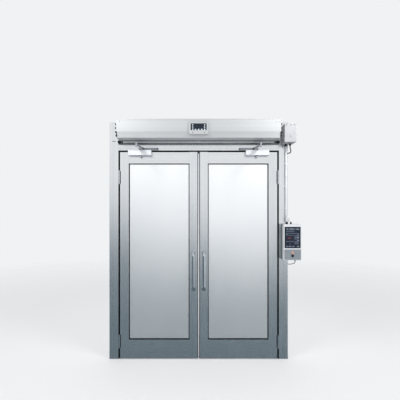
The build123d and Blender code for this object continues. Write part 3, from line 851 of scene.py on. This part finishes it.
@dataclass
class CurtainHousing:
    """The hood over the doorway with its roller, bottom bar and sensor."""

    front_screw_height: float = 2.361
    front_screw_from_end: tuple[float, ...] = (0.034, 0.011)
    side_screw_heights: tuple[float, ...] = (2.337, 2.299, 2.2615, 2.2315)
    side_screw_inset: float = 0.0105
    slant_screw_shift: float = 0.01575
    trim_width: float = 0.007
    trim_proud: float = 0.0006
    trim_sunk: float = 0.001
    trim_above_end: float = 0.003
    trim_below_crease: float = 0.002
    crease_above: float = 0.058
    facet_setback: float = 0.019
    bar_depth: float = 0.026
    bar_play: float = 0.004
    end_cap_length: float = 0.008
    end_cap_proud: float = 0.0008
    end_cap_round: float = 0.003
    upper_seal_half: float = 0.003
    lower_seal_height: float = 0.004
    bar_seal_proud: float = 0.0008
    bar_seal_depth: float = 0.006
    bar_seal_round: float = 0.0006
    guide_screw_inset: float = 0.008
    lens_radius: float = 0.006
    lens_offset: float = 0.057
    lens_drops: tuple[float, ...] = (0.0145, 0.0355, 0.0555)
    mark_radius: float = 0.0066
    mark_offsets: tuple[float, ...] = (-0.030, 0.0, 0.030)
    plate_screw_offset: float = 0.057
    plate_screw_above: float = 0.014

    def build(self) -> None:
        """Dress the hood and add its screws, trims, caps, seals and sensor eyes; the trims paint shadow and
        the seals partly do.
        """
        dress(HOOD_SHEET, "housing_cover", "housing_back", "left_housing_end", "right_housing_end",
              "sensor_plate")
        dress(CURTAIN, "curtain_roll")
        dress(BAR_METAL, "bottom_bar")
        dress(BLACK, "curtain_guides")
        dress(WINDOW, "sensor_window")
        self.add_hood_screws()
        self.add_facet_shadow_trims()
        self.add_bar_caps()
        self.add_bar_seals_and_shadow()
        self.add_guide_screws()
        self.add_sensor_eyes()

    def add_hood_screws(self) -> None:
        """Add the pale screws in front and the dark ones on the ends."""
        hood = Extent.of("housing_cover")
        left, right = Extent.of("left_housing_end"), Extent.of("right_housing_end")
        near, far = self.front_screw_from_end
        places = (left.low.x + near, right.high.x - near - far, right.high.x - far)
        seats = [(Vector((x, hood.low.y, self.front_screw_height)), FRONTWARD) for x in places]
        ScrewHead(radius=0.0038, height=0.001).drive("hood_front_screws", seats, BRIGHT, "frame")
        seats = []
        for end, x, outward in ((left, left.low.x, -1.0), (right, right.high.x, 1.0)):
            for height in self.side_screw_heights:
                y = end.low.y + self.side_screw_inset
                if height < Extent.of("sensor_plate").low.z:
                    y += self.slant_screw_shift
                seats.append((Vector((x, y, height)), Vector((outward, 0.0, 0.0))))
        ScrewHead(radius=0.0088, height=0.011, rim=0.002).drive("hood_side_screws", seats, BLACK, "frame")

    def add_facet_shadow_trims(self) -> None:
        """Add a dark edge strip down the hood's slanted face at each end, painting the shadow along the
        facet's end edge.
        """
        left, right = Extent.of("left_housing_end"), Extent.of("right_housing_end")
        trims = []
        for start in (left.low.x, right.high.x - self.trim_width):
            low = Vector((start, left.low.y - self.trim_proud, left.low.z + self.trim_above_end))
            high = Vector((start + self.trim_width, left.low.y + self.trim_sunk,
                           left.low.z + self.crease_above - self.trim_below_crease))
            trim = block(low, high)
            pick_faces(trim, lambda centre, normal: normal.z < -0.9)
            bpy.ops.transform.translate(value=(0.0, self.facet_setback, 0.0))
            settle()
            soften(trim, self.trim_proud / 2)
            trims.append(trim)
        deliver(joined(trims), "hood_facet_trims", BLACK, "frame")

    def add_bar_caps(self) -> None:
        """Add a moulded cap over each end of the bottom bar."""
        bar = Extent.of("bottom_bar")
        back = bar.high.y + self.end_cap_proud
        front = back - self.bar_depth - 2 * self.end_cap_proud
        caps = []
        for start in (bar.low.x - self.end_cap_proud, bar.high.x + self.end_cap_proud - self.end_cap_length):
            low = Vector((start, front, bar.low.z - self.end_cap_proud))
            high = Vector((start + self.end_cap_length, back, bar.high.z + self.end_cap_proud))
            cap = block(low, high)
            soften(cap, self.end_cap_round, segments=3)
            caps.append(cap)
        deliver(joined(caps), "bottom_bar_caps", CASE_LIGHT, "frame")

    def add_bar_seals_and_shadow(self) -> None:
        """Add the black seals along the bottom bar's upper and lower edges, which also paint the shadow of
        the slot above the bar and of the gap below it.
        """
        bar = Extent.of("bottom_bar")
        start, end = bar.low.x + self.end_cap_length, bar.high.x - self.end_cap_length
        upper = (bar.high.z - self.upper_seal_half, bar.high.z + self.upper_seal_half)
        lower = (bar.low.z - self.lower_seal_height, bar.low.z)
        seals = []
        for low_z, high_z in (upper, lower):
            low = Vector((start, bar.low.y - self.bar_seal_proud, low_z))
            seal = block(low, Vector((end, bar.low.y + self.bar_seal_depth, high_z)))
            soften(seal, self.bar_seal_round)
            seals.append(seal)
        deliver(joined(seals), "bottom_bar_seals", RUBBER, "frame")

    def add_guide_screws(self) -> None:
        """Add a bright screw on the front of each curtain guide."""
        guides = Extent.of("curtain_guides")
        bar = Extent.of("bottom_bar")
        reach = self.bar_play + self.guide_screw_inset
        seats = [
            (Vector((x, guides.low.y, guides.middle.z)), FRONTWARD)
            for x in (bar.low.x - reach, bar.high.x + reach)
        ]
        ScrewHead(radius=0.0055, height=0.003, rim=0.0012).drive("guide_screws", seats, POLISHED, "frame")

    def add_sensor_eyes(self) -> None:
        """Add the sensor's lenses, the marks along the window's lower edge and the plate's screws."""
        window = Extent.of("sensor_window")
        plate = Extent.of("sensor_plate")
        middle = window.middle.x
        lenses = []
        for side in Side:
            x = middle + side.value * self.lens_offset
            lenses += [facing(Vector((x, window.low.y, window.high.z - drop)), FRONTWARD)
                       for drop in self.lens_drops]
        lens = DomeNut(self.lens_radius, FLAT_DEPTH, FLAT_DEPTH).model()
        deliver(set_out(lens, lenses), "sensor_lenses", LENS_WHITE, "frame")
        marks = [
            facing(Vector((middle + offset, window.low.y, window.low.z + self.mark_radius)), FRONTWARD)
            for offset in (*self.mark_offsets, self.lens_offset)
        ]
        mark = DomeNut(self.mark_radius, FLAT_DEPTH / 2, FLAT_DEPTH / 2).model()
        deliver(set_out(mark, marks), "sensor_marks", LENS_WHITE, "frame")
        screw_z = plate.low.z + self.plate_screw_above
        seats = [
            (Vector((middle + side.value * self.plate_screw_offset, plate.low.y, screw_z)), FRONTWARD)
            for side in Side
        ]
        ScrewHead(radius=0.0042, height=0.0012).drive("sensor_screws", seats, BLACK, "frame")


@dataclass
class JunctionBox:
    """The box at the hood's right end, with the conduit, the glands and the short cables."""

    top_screw_from_left: tuple[float, ...] = (0.0187, 0.0626, 0.0969)
    top_screw_drop: float = 0.0137
    low_screw_from_left: float = 0.0597
    low_screw_above: float = 0.056
    trap_screw_inset: float = 0.007
    trap_height: float = 0.05

    def build(self) -> None:
        """Dress the box, its conduit and the cables and add the screws."""
        # The box wears the darker copy of the pale moulding, painted shade against the hood lamp's light.
        dress(BOX_PALE_SHADED, "junction_box", "junction_lid")
        dress(PALE, "conduit", "conduit_clips")
        dress(CASE, "box_gusset")
        dress(BLACK, "cable_glands", "box_cable", "panel_cable")
        lid = Extent.of("junction_lid")
        seats = [(Vector((lid.low.x + x, lid.low.y, lid.high.z - self.top_screw_drop)), FRONTWARD)
                 for x in self.top_screw_from_left]
        low_seat = Vector((lid.low.x + self.low_screw_from_left, lid.low.y, lid.low.z + self.low_screw_above))
        seats.append((low_seat, FRONTWARD))
        ScrewHead(radius=0.0042, height=0.0016).drive("lid_screws", seats, BLACK, "frame")
        conduit = Extent.of("conduit")
        inset = self.trap_screw_inset
        low_z = conduit.low.z + inset
        high_z = conduit.low.z + self.trap_height - inset
        seats = [
            (Vector((conduit.high.x - inset, conduit.low.y, low_z)), FRONTWARD),
            (Vector((conduit.low.x + inset, conduit.low.y, high_z)), FRONTWARD),
        ]
        ScrewHead(radius=0.003, height=0.001).drive("trap_screws", seats, BRIGHT, "frame")


@dataclass(frozen=True)
class DisplayField:
    """A printed field, by its middle and size as shares of the display from its top left."""

    across: float
    down: float
    width: float
    height: float


class DisplayPrint(Enum):
    """What is printed on the display, in three tones."""

    GREY = (
        DisplayField(0.50, 0.105, 0.80, 0.07),
        DisplayField(0.36, 0.21, 0.50, 0.07),
        DisplayField(0.50, 0.315, 0.80, 0.05),
        DisplayField(0.33, 0.405, 0.46, 0.035),
        DisplayField(0.75, 0.50, 0.30, 0.20),
        DisplayField(0.34, 0.685, 0.50, 0.05),
        DisplayField(0.34, 0.80, 0.04, 0.13),
        DisplayField(0.75, 0.74, 0.28, 0.16),
        DisplayField(0.36, 0.915, 0.54, 0.05),
    )
    PALE = (
        DisplayField(0.44, 0.105, 0.24, 0.030),
        DisplayField(0.18, 0.105, 0.08, 0.028),
        DisplayField(0.82, 0.115, 0.18, 0.030),
        DisplayField(0.14, 0.34, 0.05, 0.03),
        DisplayField(0.84, 0.38, 0.09, 0.028),
        DisplayField(0.84, 0.50, 0.10, 0.034),
        DisplayField(0.84, 0.64, 0.10, 0.034),
        DisplayField(0.84, 0.91, 0.12, 0.038),
        DisplayField(0.14, 0.915, 0.07, 0.030),
        DisplayField(0.33, 0.915, 0.09, 0.026),
        DisplayField(0.55, 0.915, 0.08, 0.030),
    )
    RED = (
        DisplayField(0.24, 0.53, 0.09, 0.055),
        DisplayField(0.36, 0.53, 0.09, 0.055),
    )


@dataclass
class ControlPanel:
    """The control box on the right post: display, flap, button and key switch."""

    collar: float = 0.0045
    collar_height: float = 0.003
    collar_play: float = 0.0004
    ring_inset: float = 0.0008
    key_slot_length: float = 0.009
    key_slot_width: float = 0.0022
    latch_height: float = 0.016
    latch_width: float = 0.011
    latch_proud: float = 0.003
    latch_above: float = 0.088
    seam_band: tuple[float, float] = (0.004, 0.022)
    seam_proud: float = 0.0006
    seam_round: float = 0.004
    flap_screw_inset: float = 0.012

    def build(self) -> None:
        """Dress the box and add its print, collars, slot, screws, latch and the seam band that paints the
        seam's shadow.
        """
        dress(CASE_DARK, "panel_base")
        dress(CASE_LIGHT, "panel_cover")
        dress(CASE, "panel_flap")
        dress(WINDOW, "panel_display")
        dress(BUTTON_GREY, "panel_button")
        dress(BLACK, "panel_key")
        for tone, finish in ((DisplayPrint.GREY, PRINT_GREY), (DisplayPrint.PALE, PRINT_PALE),
                             (DisplayPrint.RED, PRINT_RED)):
            self.print_fields(tone, finish)
        self.add_collars()
        self.add_button_ring()
        self.add_key_slot()
        self.add_flap_screws()
        self.add_latch()
        self.add_seam_shadow_band()

    def add_seam_shadow_band(self) -> None:
        """Wrap the seam of the base and the cover in dark rubber that paints the shadow of the gap between
        them, sunk a little on the right side.
        """
        cover = Extent.of("panel_cover")
        proud = Vector((self.seam_proud, 0.0, self.seam_proud))
        onto_cover, onto_base = self.seam_band
        low = Vector((cover.low.x, cover.high.y - onto_cover, cover.low.z)) - proud
        high = Vector((cover.high.x, cover.high.y + onto_base, cover.high.z)) + proud
        # The box's right face is the CAD box's own, which no piece may pass.
        high.x = CAD_BOX[1].x - self.seam_proud
        band = block(low, high)
        soften(band, self.seam_round, segments=3)
        pick_faces(band, lambda centre, normal: abs(normal.y) > 0.9)
        bpy.ops.mesh.inset(thickness=3 * self.seam_proud, use_individual=True)
        bpy.ops.mesh.bridge_edge_loops()
        settle()
        deliver(band, "panel_seam_gasket", RUBBER, "frame")

    def print_fields(self, tone: DisplayPrint, finish: Finish) -> None:
        """Lay one tone of the display's print.

        Args:
            tone: The fields in that tone.
            finish: The tone's finish.
        """
        display = Extent.of("panel_display")
        size = display.high - display.low
        lift = FLAT_DEPTH if tone is DisplayPrint.GREY else 2 * FLAT_DEPTH
        fields = []
        for spot in tone.value:
            middle = Vector((display.low.x + spot.across * size.x, display.low.y,
                             display.high.z - spot.down * size.z))
            half = Vector((spot.width * size.x / 2, lift, spot.height * size.z / 2))
            field_block = block(middle - half, middle + half)
            soften(field_block, FLAT_DEPTH / 2, segments=1)
            fields.append(field_block)
        deliver(joined(fields), f"display_{tone.name.lower()}_fields", finish, "frame")

    def add_collars(self) -> None:
        """Add the collars round the button and the key."""
        flap = Extent.of("panel_flap")
        for name, node, finish in (
            ("button_collar", "panel_button", BRIGHT),
            ("key_collar", "panel_key", BLACK),
        ):
            thing = Extent.of(node)
            radius = (thing.high.x - thing.low.x) / 2
            collar = Ring(radius + self.collar, radius + self.collar_play, self.collar_height).model()
            seat = Vector((thing.middle.x, flap.low.y, thing.middle.z))
            deliver(set_out(collar, [facing(seat, FRONTWARD)]), name, finish, "frame")

    def add_button_ring(self) -> None:
        """Add the muted orange ring on the button's face."""
        button = Extent.of("panel_button")
        radius = (button.high.x - button.low.x) / 2
        ring = Ring(radius - self.ring_inset, radius / 2, FLAT_DEPTH, rim=FLAT_DEPTH / 4).model()
        seat = Vector((button.middle.x, button.low.y, button.middle.z))
        deliver(set_out(ring, [facing(seat, FRONTWARD)]), "button_ring", ORANGE, "frame")

    def add_key_slot(self) -> None:
        """Add the slot that the key goes into."""
        key = Extent.of("panel_key")
        front = Vector((key.middle.x, key.low.y, key.middle.z))
        half = Vector((self.key_slot_width / 2, FLAT_DEPTH, self.key_slot_length / 2))
        slot = block(front - half, front + half)
        soften(slot, FLAT_DEPTH)
        deliver(slot, "key_slot", DULL, "frame")

    def add_flap_screws(self) -> None:
        """Add a screw in each lower corner of the flap."""
        flap = Extent.of("panel_flap")
        inset = self.flap_screw_inset
        seats = [(Vector((x, flap.low.y, flap.low.z + inset)), FRONTWARD)
                 for x in (flap.low.x + inset, flap.high.x - inset)]
        ScrewHead(radius=0.0032, height=0.0012).drive("flap_screws", seats, BRIGHT, "frame")

    def add_latch(self) -> None:
        """Add the small dark latch over the seam on the box's left side."""
        cover = Extent.of("panel_cover")
        middle = Vector((cover.low.x, cover.high.y, cover.low.z + self.latch_above))
        half = Vector((self.latch_proud, self.latch_width / 2, self.latch_height / 2))
        latch = block(middle - half, middle + half)
        soften(latch, self.latch_proud / 2)
        deliver(latch, "panel_latch", BLACK, "frame")


@dataclass
class Leaf:
    """One leaf with its hinges, handle and closer."""

    side: Side
    hinge_screw_offsets: tuple[float, ...] = (-0.048, 0.0, 0.048)
    hinge_screw_depth: float = 0.018
    hinge_plate: float = 0.003
    hinge_cap_height: float = 0.007
    hinge_cap_play: float = 0.0002
    barrel_radius: float = 0.008
    barrel_length: float = 0.13
    barrel_end: float = 0.004
    shadow_strip_width: float = 0.009
    shadow_lip: float = 0.0025
    shadow_lip_depth: float = 0.002
    shadow_skin: float = 0.0006
    shadow_lining_setback: float = 0.004
    cover_length: float = 0.014
    cover_proud: float = 0.0007
    cover_round: float = 0.002
    body_above_foot: float = 0.014
    body_below_boss: float = 0.002
    valve_offset: float = 0.012
    valve_depth: float = 0.03
    hub_radius: float = 0.014
    rose_half: float = 0.0025
    rose_radius: float = 0.021

    def build(self) -> None:
        """Dress the leaf and add its small parts."""
        named = self.side.named
        dress(POST_STEEL, named("hinge_stile"), named("meeting_stile"))
        dress(BEAM_STEEL, named("top_rail"), named("bottom_rail"))
        dress(FROSTED, named("panel"))
        dress(RUBBER, named("gasket"))
        dress(GREY_RUBBER, named("meeting_seal"))
        dress(POLISHED, named("handle"))
        dress(BRIGHT, named("frame_hinges"), named("leaf_hinges"))
        dress(ENAMEL, named("closer"))
        self.add_hinge_screws()
        self.add_hinge_caps()
        self.add_hinge_recesses()
        self.add_edge_seal()
        self.add_closer_covers()
        self.add_closer_valves()
        self.add_spindle_parts()
        self.add_handle_screws()

    def hinge_centres(self) -> tuple[float, float]:
        """Give the heights of the two hinges' middles.

        Returns:
            The lower and the upper hinge's middle.
        """
        hinges = Extent.of(self.side.named("leaf_hinges"))
        reach = self.barrel_end + self.barrel_length / 2
        return hinges.low.z + reach, hinges.high.z - reach

    def closer_heights(self) -> tuple[float, float]:
        """Give the heights of the closer body's underside and top, without its bosses.

        Returns:
            The underside's and the top's height.
        """
        closer = Extent.of(self.side.named("closer"))
        return closer.low.z + self.body_above_foot, closer.high.z - self.body_below_boss

    def add_hinge_screws(self) -> None:
        """Add the screws of the hinge plates on the leaf and on the post."""
        named = self.side.named
        stile = Extent.of(named("hinge_stile"))
        outward = float(self.side.value)
        leaf_face = self.side.outer(stile) + outward * self.hinge_plate
        post_face = self.side.outer(Extent.of(named("frame_hinges"))) - outward * self.hinge_plate
        depth = stile.low.y + self.hinge_screw_depth
        flat = ScrewHead(radius=0.004, height=0.0006, rim=0.0003, socket_depth=0.0004)
        for name, x, way, body in (
            ("leaf_hinge_screws", leaf_face, outward, named("leaf")),
            ("frame_hinge_screws", post_face, -outward, "frame"),
        ):
            seats = [(Vector((x, depth, centre + offset)), Vector((way, 0.0, 0.0)))
                     for centre in self.hinge_centres() for offset in self.hinge_screw_offsets]
            flat.drive(named(name), seats, BRIGHT, body)

    def add_hinge_caps(self) -> None:
        """Add a dark cap under each hinge's barrel."""
        named = self.side.named
        hinges = Extent.of(named("leaf_hinges"))
        radius = self.barrel_radius
        axis_x = self.side.outer(hinges) - self.side.value * radius
        axis_y = hinges.low.y + radius
        drop = self.barrel_length / 2 + self.barrel_end
        half_height = self.hinge_cap_height / 2
        cap = DomeNut(radius - self.hinge_cap_play, half_height, half_height).model()
        seats = [facing(Vector((axis_x, axis_y, centre - drop)), DOWNWARD) for centre in self.hinge_centres()]
        deliver(set_out(cap, seats), named("hinge_caps"), BLACK, named("leaf"))

    def add_hinge_recesses(self) -> None:
        """Add a dark flat strip beside each hinge, painting the shadow of the gap between the barrel and the
        leaf.
        """
        named = self.side.named
        stile = Extent.of(named("hinge_stile"))
        edge = self.side.outer(stile)
        left, right = sorted((edge, edge - self.side.value * self.shadow_strip_width))
        shadow_strips = []
        for centre in self.hinge_centres():
            low = Vector((left, stile.low.y - FLAT_DEPTH, centre - self.barrel_length / 2))
            high = Vector((right, stile.low.y + FLAT_DEPTH, centre + self.barrel_length / 2))
            shadow_strip = block(low, high)
            soften(shadow_strip, FLAT_DEPTH / 2)
            shadow_strips.append(shadow_strip)
        deliver(joined(shadow_strips), named("hinge_recesses"), RUBBER, named("leaf"))

    def add_edge_seal(self) -> None:
        """Line the leaf's hinge edge and top edge with dark rubber whose lip shows in front, painting the
        shadow of the gaps round the leaf.
        """
        named = self.side.named
        stile = Extent.of(named("hinge_stile"))
        rail = Extent.of(named("top_rail"))
        outward = self.side.value
        edge = self.side.outer(stile)
        bottom, top = stile.low.z, stile.high.z
        front, back = stile.low.y - FLAT_DEPTH, stile.high.y - self.shadow_lining_setback
        lip_back = front + self.shadow_lip_depth
        lip = sorted((edge + outward * self.shadow_skin, edge - outward * self.shadow_lip))
        skin = sorted((edge + outward * self.shadow_skin, edge - outward * self.shadow_skin))
        upright = block(Vector((lip[0], front, bottom)), Vector((lip[1], lip_back, top)))
        lining = block(Vector((skin[0], front, bottom)), Vector((skin[1], back, top)))
        level = block(Vector((min(stile.low.x, rail.low.x), front, rail.high.z - self.shadow_lip)),
                      Vector((max(stile.high.x, rail.high.x), lip_back, rail.high.z)))
        parts = [upright, lining, level]
        for part in parts:
            soften(part, FLAT_DEPTH / 2)
        deliver(joined(parts), named("edge_seal"), RUBBER, named("leaf"))

    def add_closer_covers(self) -> None:
        """Add a cover over each end of the closer's body."""
        named = self.side.named
        closer = Extent.of(named("closer"))
        rail_front = Extent.of(named("top_rail")).low.y
        underside, top = self.closer_heights()
        covers = []
        for start in (closer.low.x - self.cover_proud, closer.high.x - self.cover_length + self.cover_proud):
            low = Vector((start, closer.low.y - self.cover_proud, underside - self.cover_proud))
            high = Vector((start + self.cover_length, rail_front, top + self.cover_proud))
            cover = block(low, high)
            soften(cover, self.cover_round, segments=3)
            covers.append(cover)
        deliver(joined(covers), named("closer_end_covers"), ENAMEL, named("leaf"))

    def add_closer_valves(self) -> None:
        """Add the two valve screws in the closer's inner end."""
        named = self.side.named
        closer = Extent.of(named("closer"))
        inward = -self.side.value
        x = self.side.inner(closer) + inward * self.cover_proud
        depth = closer.low.y + self.valve_depth
        height = sum(self.closer_heights()) / 2
        seats = [(Vector((x, depth + shift, height)), Vector((inward, 0.0, 0.0)))
                 for shift in (-self.valve_offset, self.valve_offset)]
        ScrewHead(radius=0.003, height=0.001).drive(named("closer_valves"), seats, BRIGHT, named("leaf"))

    def add_spindle_parts(self) -> None:
        """Add the dome and the dark ring under the closer's spindle."""
        named = self.side.named
        arm = Extent.of(named("main_arm"))
        x, y = arm.middle.x, arm.high.y - self.hub_radius
        seat = facing(Vector((x, y, Extent.of(named("closer")).low.z)), DOWNWARD)
        dome = set_out(DomeNut(radius=0.0088, height=0.001, dome=0.005).model(), [seat])
        deliver(dome, named("spindle_dome"), POLISHED, named("leaf"))
        underside, _ = self.closer_heights()
        seat = facing(Vector((x, y, underside)), DOWNWARD)
        ring = set_out(Ring(outer=0.0135, inner=0.0101, height=0.004).model(), [seat])
        deliver(ring, named("spindle_ring"), BLACK, named("leaf"))

    def add_handle_screws(self) -> None:
        """Add a small fixing screw on the side of each rose."""
        named = self.side.named
        handle = Extent.of(named("handle"))
        face = self.side.inner(handle)
        inward = Vector((-self.side.value, 0.0, 0.0))
        depth = handle.high.y - self.rose_half
        seats = [(Vector((face, depth, z)), inward)
                 for z in (handle.low.z + self.rose_radius, handle.high.z - self.rose_radius)]
        screw = ScrewHead(radius=0.0016, height=0.0006, rim=0.0002, socket_depth=0.0005)
        screw.drive(named("handle_screws"), seats, BLACK, named("leaf"))


@dataclass
class CloserArm:
    """One closer's folded arm: the main arm, the forearm and the shoe on the head bar."""

    side: Side
    nut_radius: float = 0.0082
    nut_height: float = 0.004
    elbow_radius: float = 0.009
    elbow_shift: float = 0.002
    shoe_screw_inset: float = 0.009
    shoe_plate: float = 0.006

    def build(self) -> None:
        """Dress the arm and add its nuts and screws."""
        named = self.side.named
        dress(BRIGHT, named("main_arm"), named("forearm"))
        dress(DULL, named("shoe"))
        arm = Extent.of(named("main_arm"))
        elbow_x = arm.middle.x + self.side.value * self.elbow_shift
        elbow = Vector((elbow_x, arm.low.y + self.elbow_radius, arm.low.z))
        nut = DomeNut(self.nut_radius, self.nut_height, self.nut_height).model()
        deliver(set_out(nut, [facing(elbow, DOWNWARD)]), named("elbow_nut"), POLISHED, named("main_arm"))
        shoe = Extent.of(named("shoe"))
        plate_front = Extent.of("head_bar").low.y - self.shoe_plate
        seats = [(Vector((x, plate_front, shoe.middle.z)), FRONTWARD)
                 for x in (shoe.low.x + self.shoe_screw_inset, shoe.high.x - self.shoe_screw_inset)]
        ScrewHead(radius=0.0055, height=0.0025, rim=0.001).drive(named("shoe_screws"), seats, BLACK, "frame")


@dataclass(frozen=True)
class Lamp:
    """A rectangular light, with its place and target measured from the doorway's middle on the floor."""

    place: tuple[float, float, float]
    target: tuple[float, float, float]
    size: tuple[float, float]
    spread: float = 180.0

    def hang(self, name: str, power: float, across: int = 1) -> None:
        """Hang the light so that no glossy surface mirrors it.

        Args:
            name: The light's name.
            power: Its power in watts.
            across: The sign of X on the side that it hangs on.
        """
        middle = (CAD_BOX[0].x + CAD_BOX[1].x) / 2
        place, target = (Vector((middle + across * x, y, z)) for x, y, z in (self.place, self.target))
        settle()
        bpy.ops.object.light_add(type="AREA", location=place)
        light = bpy.context.object
        light.name = name
        light.rotation_euler = (target - place).to_track_quat("-Z", "Y").to_euler()
        light.data.shape = "RECTANGLE"
        light.data.size, light.data.size_y = self.size
        light.data.energy = power
        light.data.spread = math.radians(self.spread)
        light.visible_glossy = False


@dataclass
class Studio:
    """The pale floor, the soft lights, the surround and the camera."""

    distance: float = 3.6
    eye_height: float = 1.492
    lens: float = 31.9
    sensor_width: float = 36.0
    shift: tuple[float, float] = (0.0034, 0.03)
    floor_radius: float = 9.0
    fade_start: float = 3.5
    fade_margin: float = 0.5
    backdrop: tuple[float, float, float, float] = shade(240, 242, 244)
    upward: tuple[float, float, float] = (0.17, 0.0, 0.985)
    bands: tuple[tuple[float, tuple[float, float, float, float]], ...] = (
        (0.0, shade(102, 117, 125)),
        (0.355, shade(106, 121, 129)),
        (0.465, shade(235, 239, 243)),
        (0.53, shade(255, 255, 255)),
        (0.64, shade(255, 255, 255)),
        (1.0, shade(230, 232, 234)),
    )
    rise_range: tuple[float, float] = (-0.5, 0.5)
    softbox: Lamp = Lamp((1.9, -2.3, 3.5), (0.0, 0.0, 1.7), (1.3, 0.9))
    hood_lamp: Lamp = Lamp((1.25, -1.1, 2.95), (0.72, 0.0, 2.18), (0.2, 0.16), spread=80.0)
    bounce_lamp: Lamp = Lamp((0.0, -1.6, 0.4), (0.0, 0.0, 2.3), (2.6, 0.6), spread=90.0)
    softbox_power: dict[Side, float] = field(default_factory=lambda: {Side.LEFT: 26.0, Side.RIGHT: 31.0})
    hood_power: dict[Side, float] = field(default_factory=lambda: {Side.LEFT: 3.4, Side.RIGHT: 4.4})
    bounce_power: float = 8.5

    def build(self) -> None:
        """Set up the whole studio."""
        bpy.context.scene.view_settings.view_transform = "Standard"
        self.lay_floor()
        self.hang_surround()
        self.hang_lights()
        self.place_camera()

    def lay_floor(self) -> None:
        """Lay a round pale floor whose edge fades into the backdrop."""
        settle()
        middle = (CAD_BOX[0] + CAD_BOX[1]) / 2
        bpy.ops.mesh.primitive_circle_add(vertices=96, radius=self.floor_radius, fill_type="NGON",
                                          location=(middle.x, 0.0, 0.0))
        floor = bpy.context.object
        fix_place(floor)
        floor.name = "studio_floor"
        sheet = NodeSheet("studio_floor")
        sheet.set(Base_Color=shade(244, 243, 243), Roughness=0.7)
        away = sheet.nodes.new("ShaderNodeVectorMath")
        away.operation = "DISTANCE"
        away.inputs[1].default_value = (middle.x, 0.0, 0.0)
        sheet.links.new(sheet.place, away.inputs[0])
        fade = (self.fade_start, self.floor_radius - self.fade_margin)
        sheet.feed("Alpha", sheet.remap(away.outputs["Value"], fade, (1.0, 0.0)))
        floor.data.materials.append(sheet.material)
        floor.visible_glossy = False

    def hang_surround(self) -> None:
        """Give the surround a bright upper half and a dim lower half, and show a plain backdrop."""
        world = bpy.data.worlds.new("studio")
        bpy.context.scene.world = world
        world.use_nodes = True
        nodes, links = world.node_tree.nodes, world.node_tree.links
        nodes.clear()
        place = nodes.new("ShaderNodeTexCoord")
        rise = nodes.new("ShaderNodeVectorMath")
        rise.operation = "DOT_PRODUCT"
        rise.inputs[1].default_value = self.upward
        links.new(place.outputs["Generated"], rise.inputs[0])
        up = nodes.new("ShaderNodeMapRange")
        up.inputs["From Min"].default_value, up.inputs["From Max"].default_value = self.rise_range
        links.new(rise.outputs["Value"], up.inputs["Value"])
        ramp = nodes.new("ShaderNodeValToRGB")
        ramp.color_ramp.interpolation = "LINEAR"
        stops = ramp.color_ramp.elements
        (first, dimmest), *between, (last, brightest) = self.bands
        stops[0].position, stops[0].color = first, dimmest
        stops[1].position, stops[1].color = last, brightest
        for position, colour in between:
            stop = stops.new(position)
            stop.color = colour
        links.new(up.outputs["Result"], ramp.inputs["Fac"])
        seen, lighting = nodes.new("ShaderNodeBackground"), nodes.new("ShaderNodeBackground")
        seen.inputs["Color"].default_value = self.backdrop
        links.new(ramp.outputs["Color"], lighting.inputs["Color"])
        lighting.inputs["Strength"].default_value = 1.0
        path = nodes.new("ShaderNodeLightPath")
        choice = nodes.new("ShaderNodeMixShader")
        links.new(path.outputs["Is Camera Ray"], choice.inputs[0])
        links.new(lighting.outputs["Background"], choice.inputs[1])
        links.new(seen.outputs["Background"], choice.inputs[2])
        output = nodes.new("ShaderNodeOutputWorld")
        links.new(choice.outputs["Shader"], output.inputs["Surface"])

    def hang_lights(self) -> None:
        """Hang a soft light and a small hood light on each side, and a low one for the undersides."""
        for side in Side:
            self.softbox.hang(side.named("softbox"), self.softbox_power[side], side.value)
            self.hood_lamp.hang(side.named("hood_light"), self.hood_power[side], side.value)
        self.bounce_lamp.hang("floor_bounce", self.bounce_power)

    def place_camera(self) -> None:
        """Place the camera square on to the front, at the photograph's height and distance."""
        front = Extent.of("left_post").low.y
        middle = Extent.of("head_bar").middle.x
        settle()
        bpy.ops.object.camera_add(location=(middle, front - self.distance, self.eye_height),
                                  rotation=(math.pi / 2, 0.0, 0.0))
        camera = bpy.context.object
        camera.name = "front_camera"
        camera.data.lens = self.lens
        camera.data.sensor_width = self.sensor_width
        camera.data.shift_x, camera.data.shift_y = self.shift
        bpy.context.scene.camera = camera


def main() -> None:
    """Build the sub-assemblies in order, then the studio round them."""
    logging.basicConfig(level=logging.INFO, format="%(message)s")
    assemblies = [FixedFrame(), CurtainHousing(), JunctionBox(), ControlPanel()]
    for side in Side:
        assemblies += [Leaf(side), CloserArm(side)]
    for assembly in assemblies:
        assembly.build()
        log.info("built %s", type(assembly).__name__)
    Studio().build()
    settle()


if __name__ == "__main__":
    main()
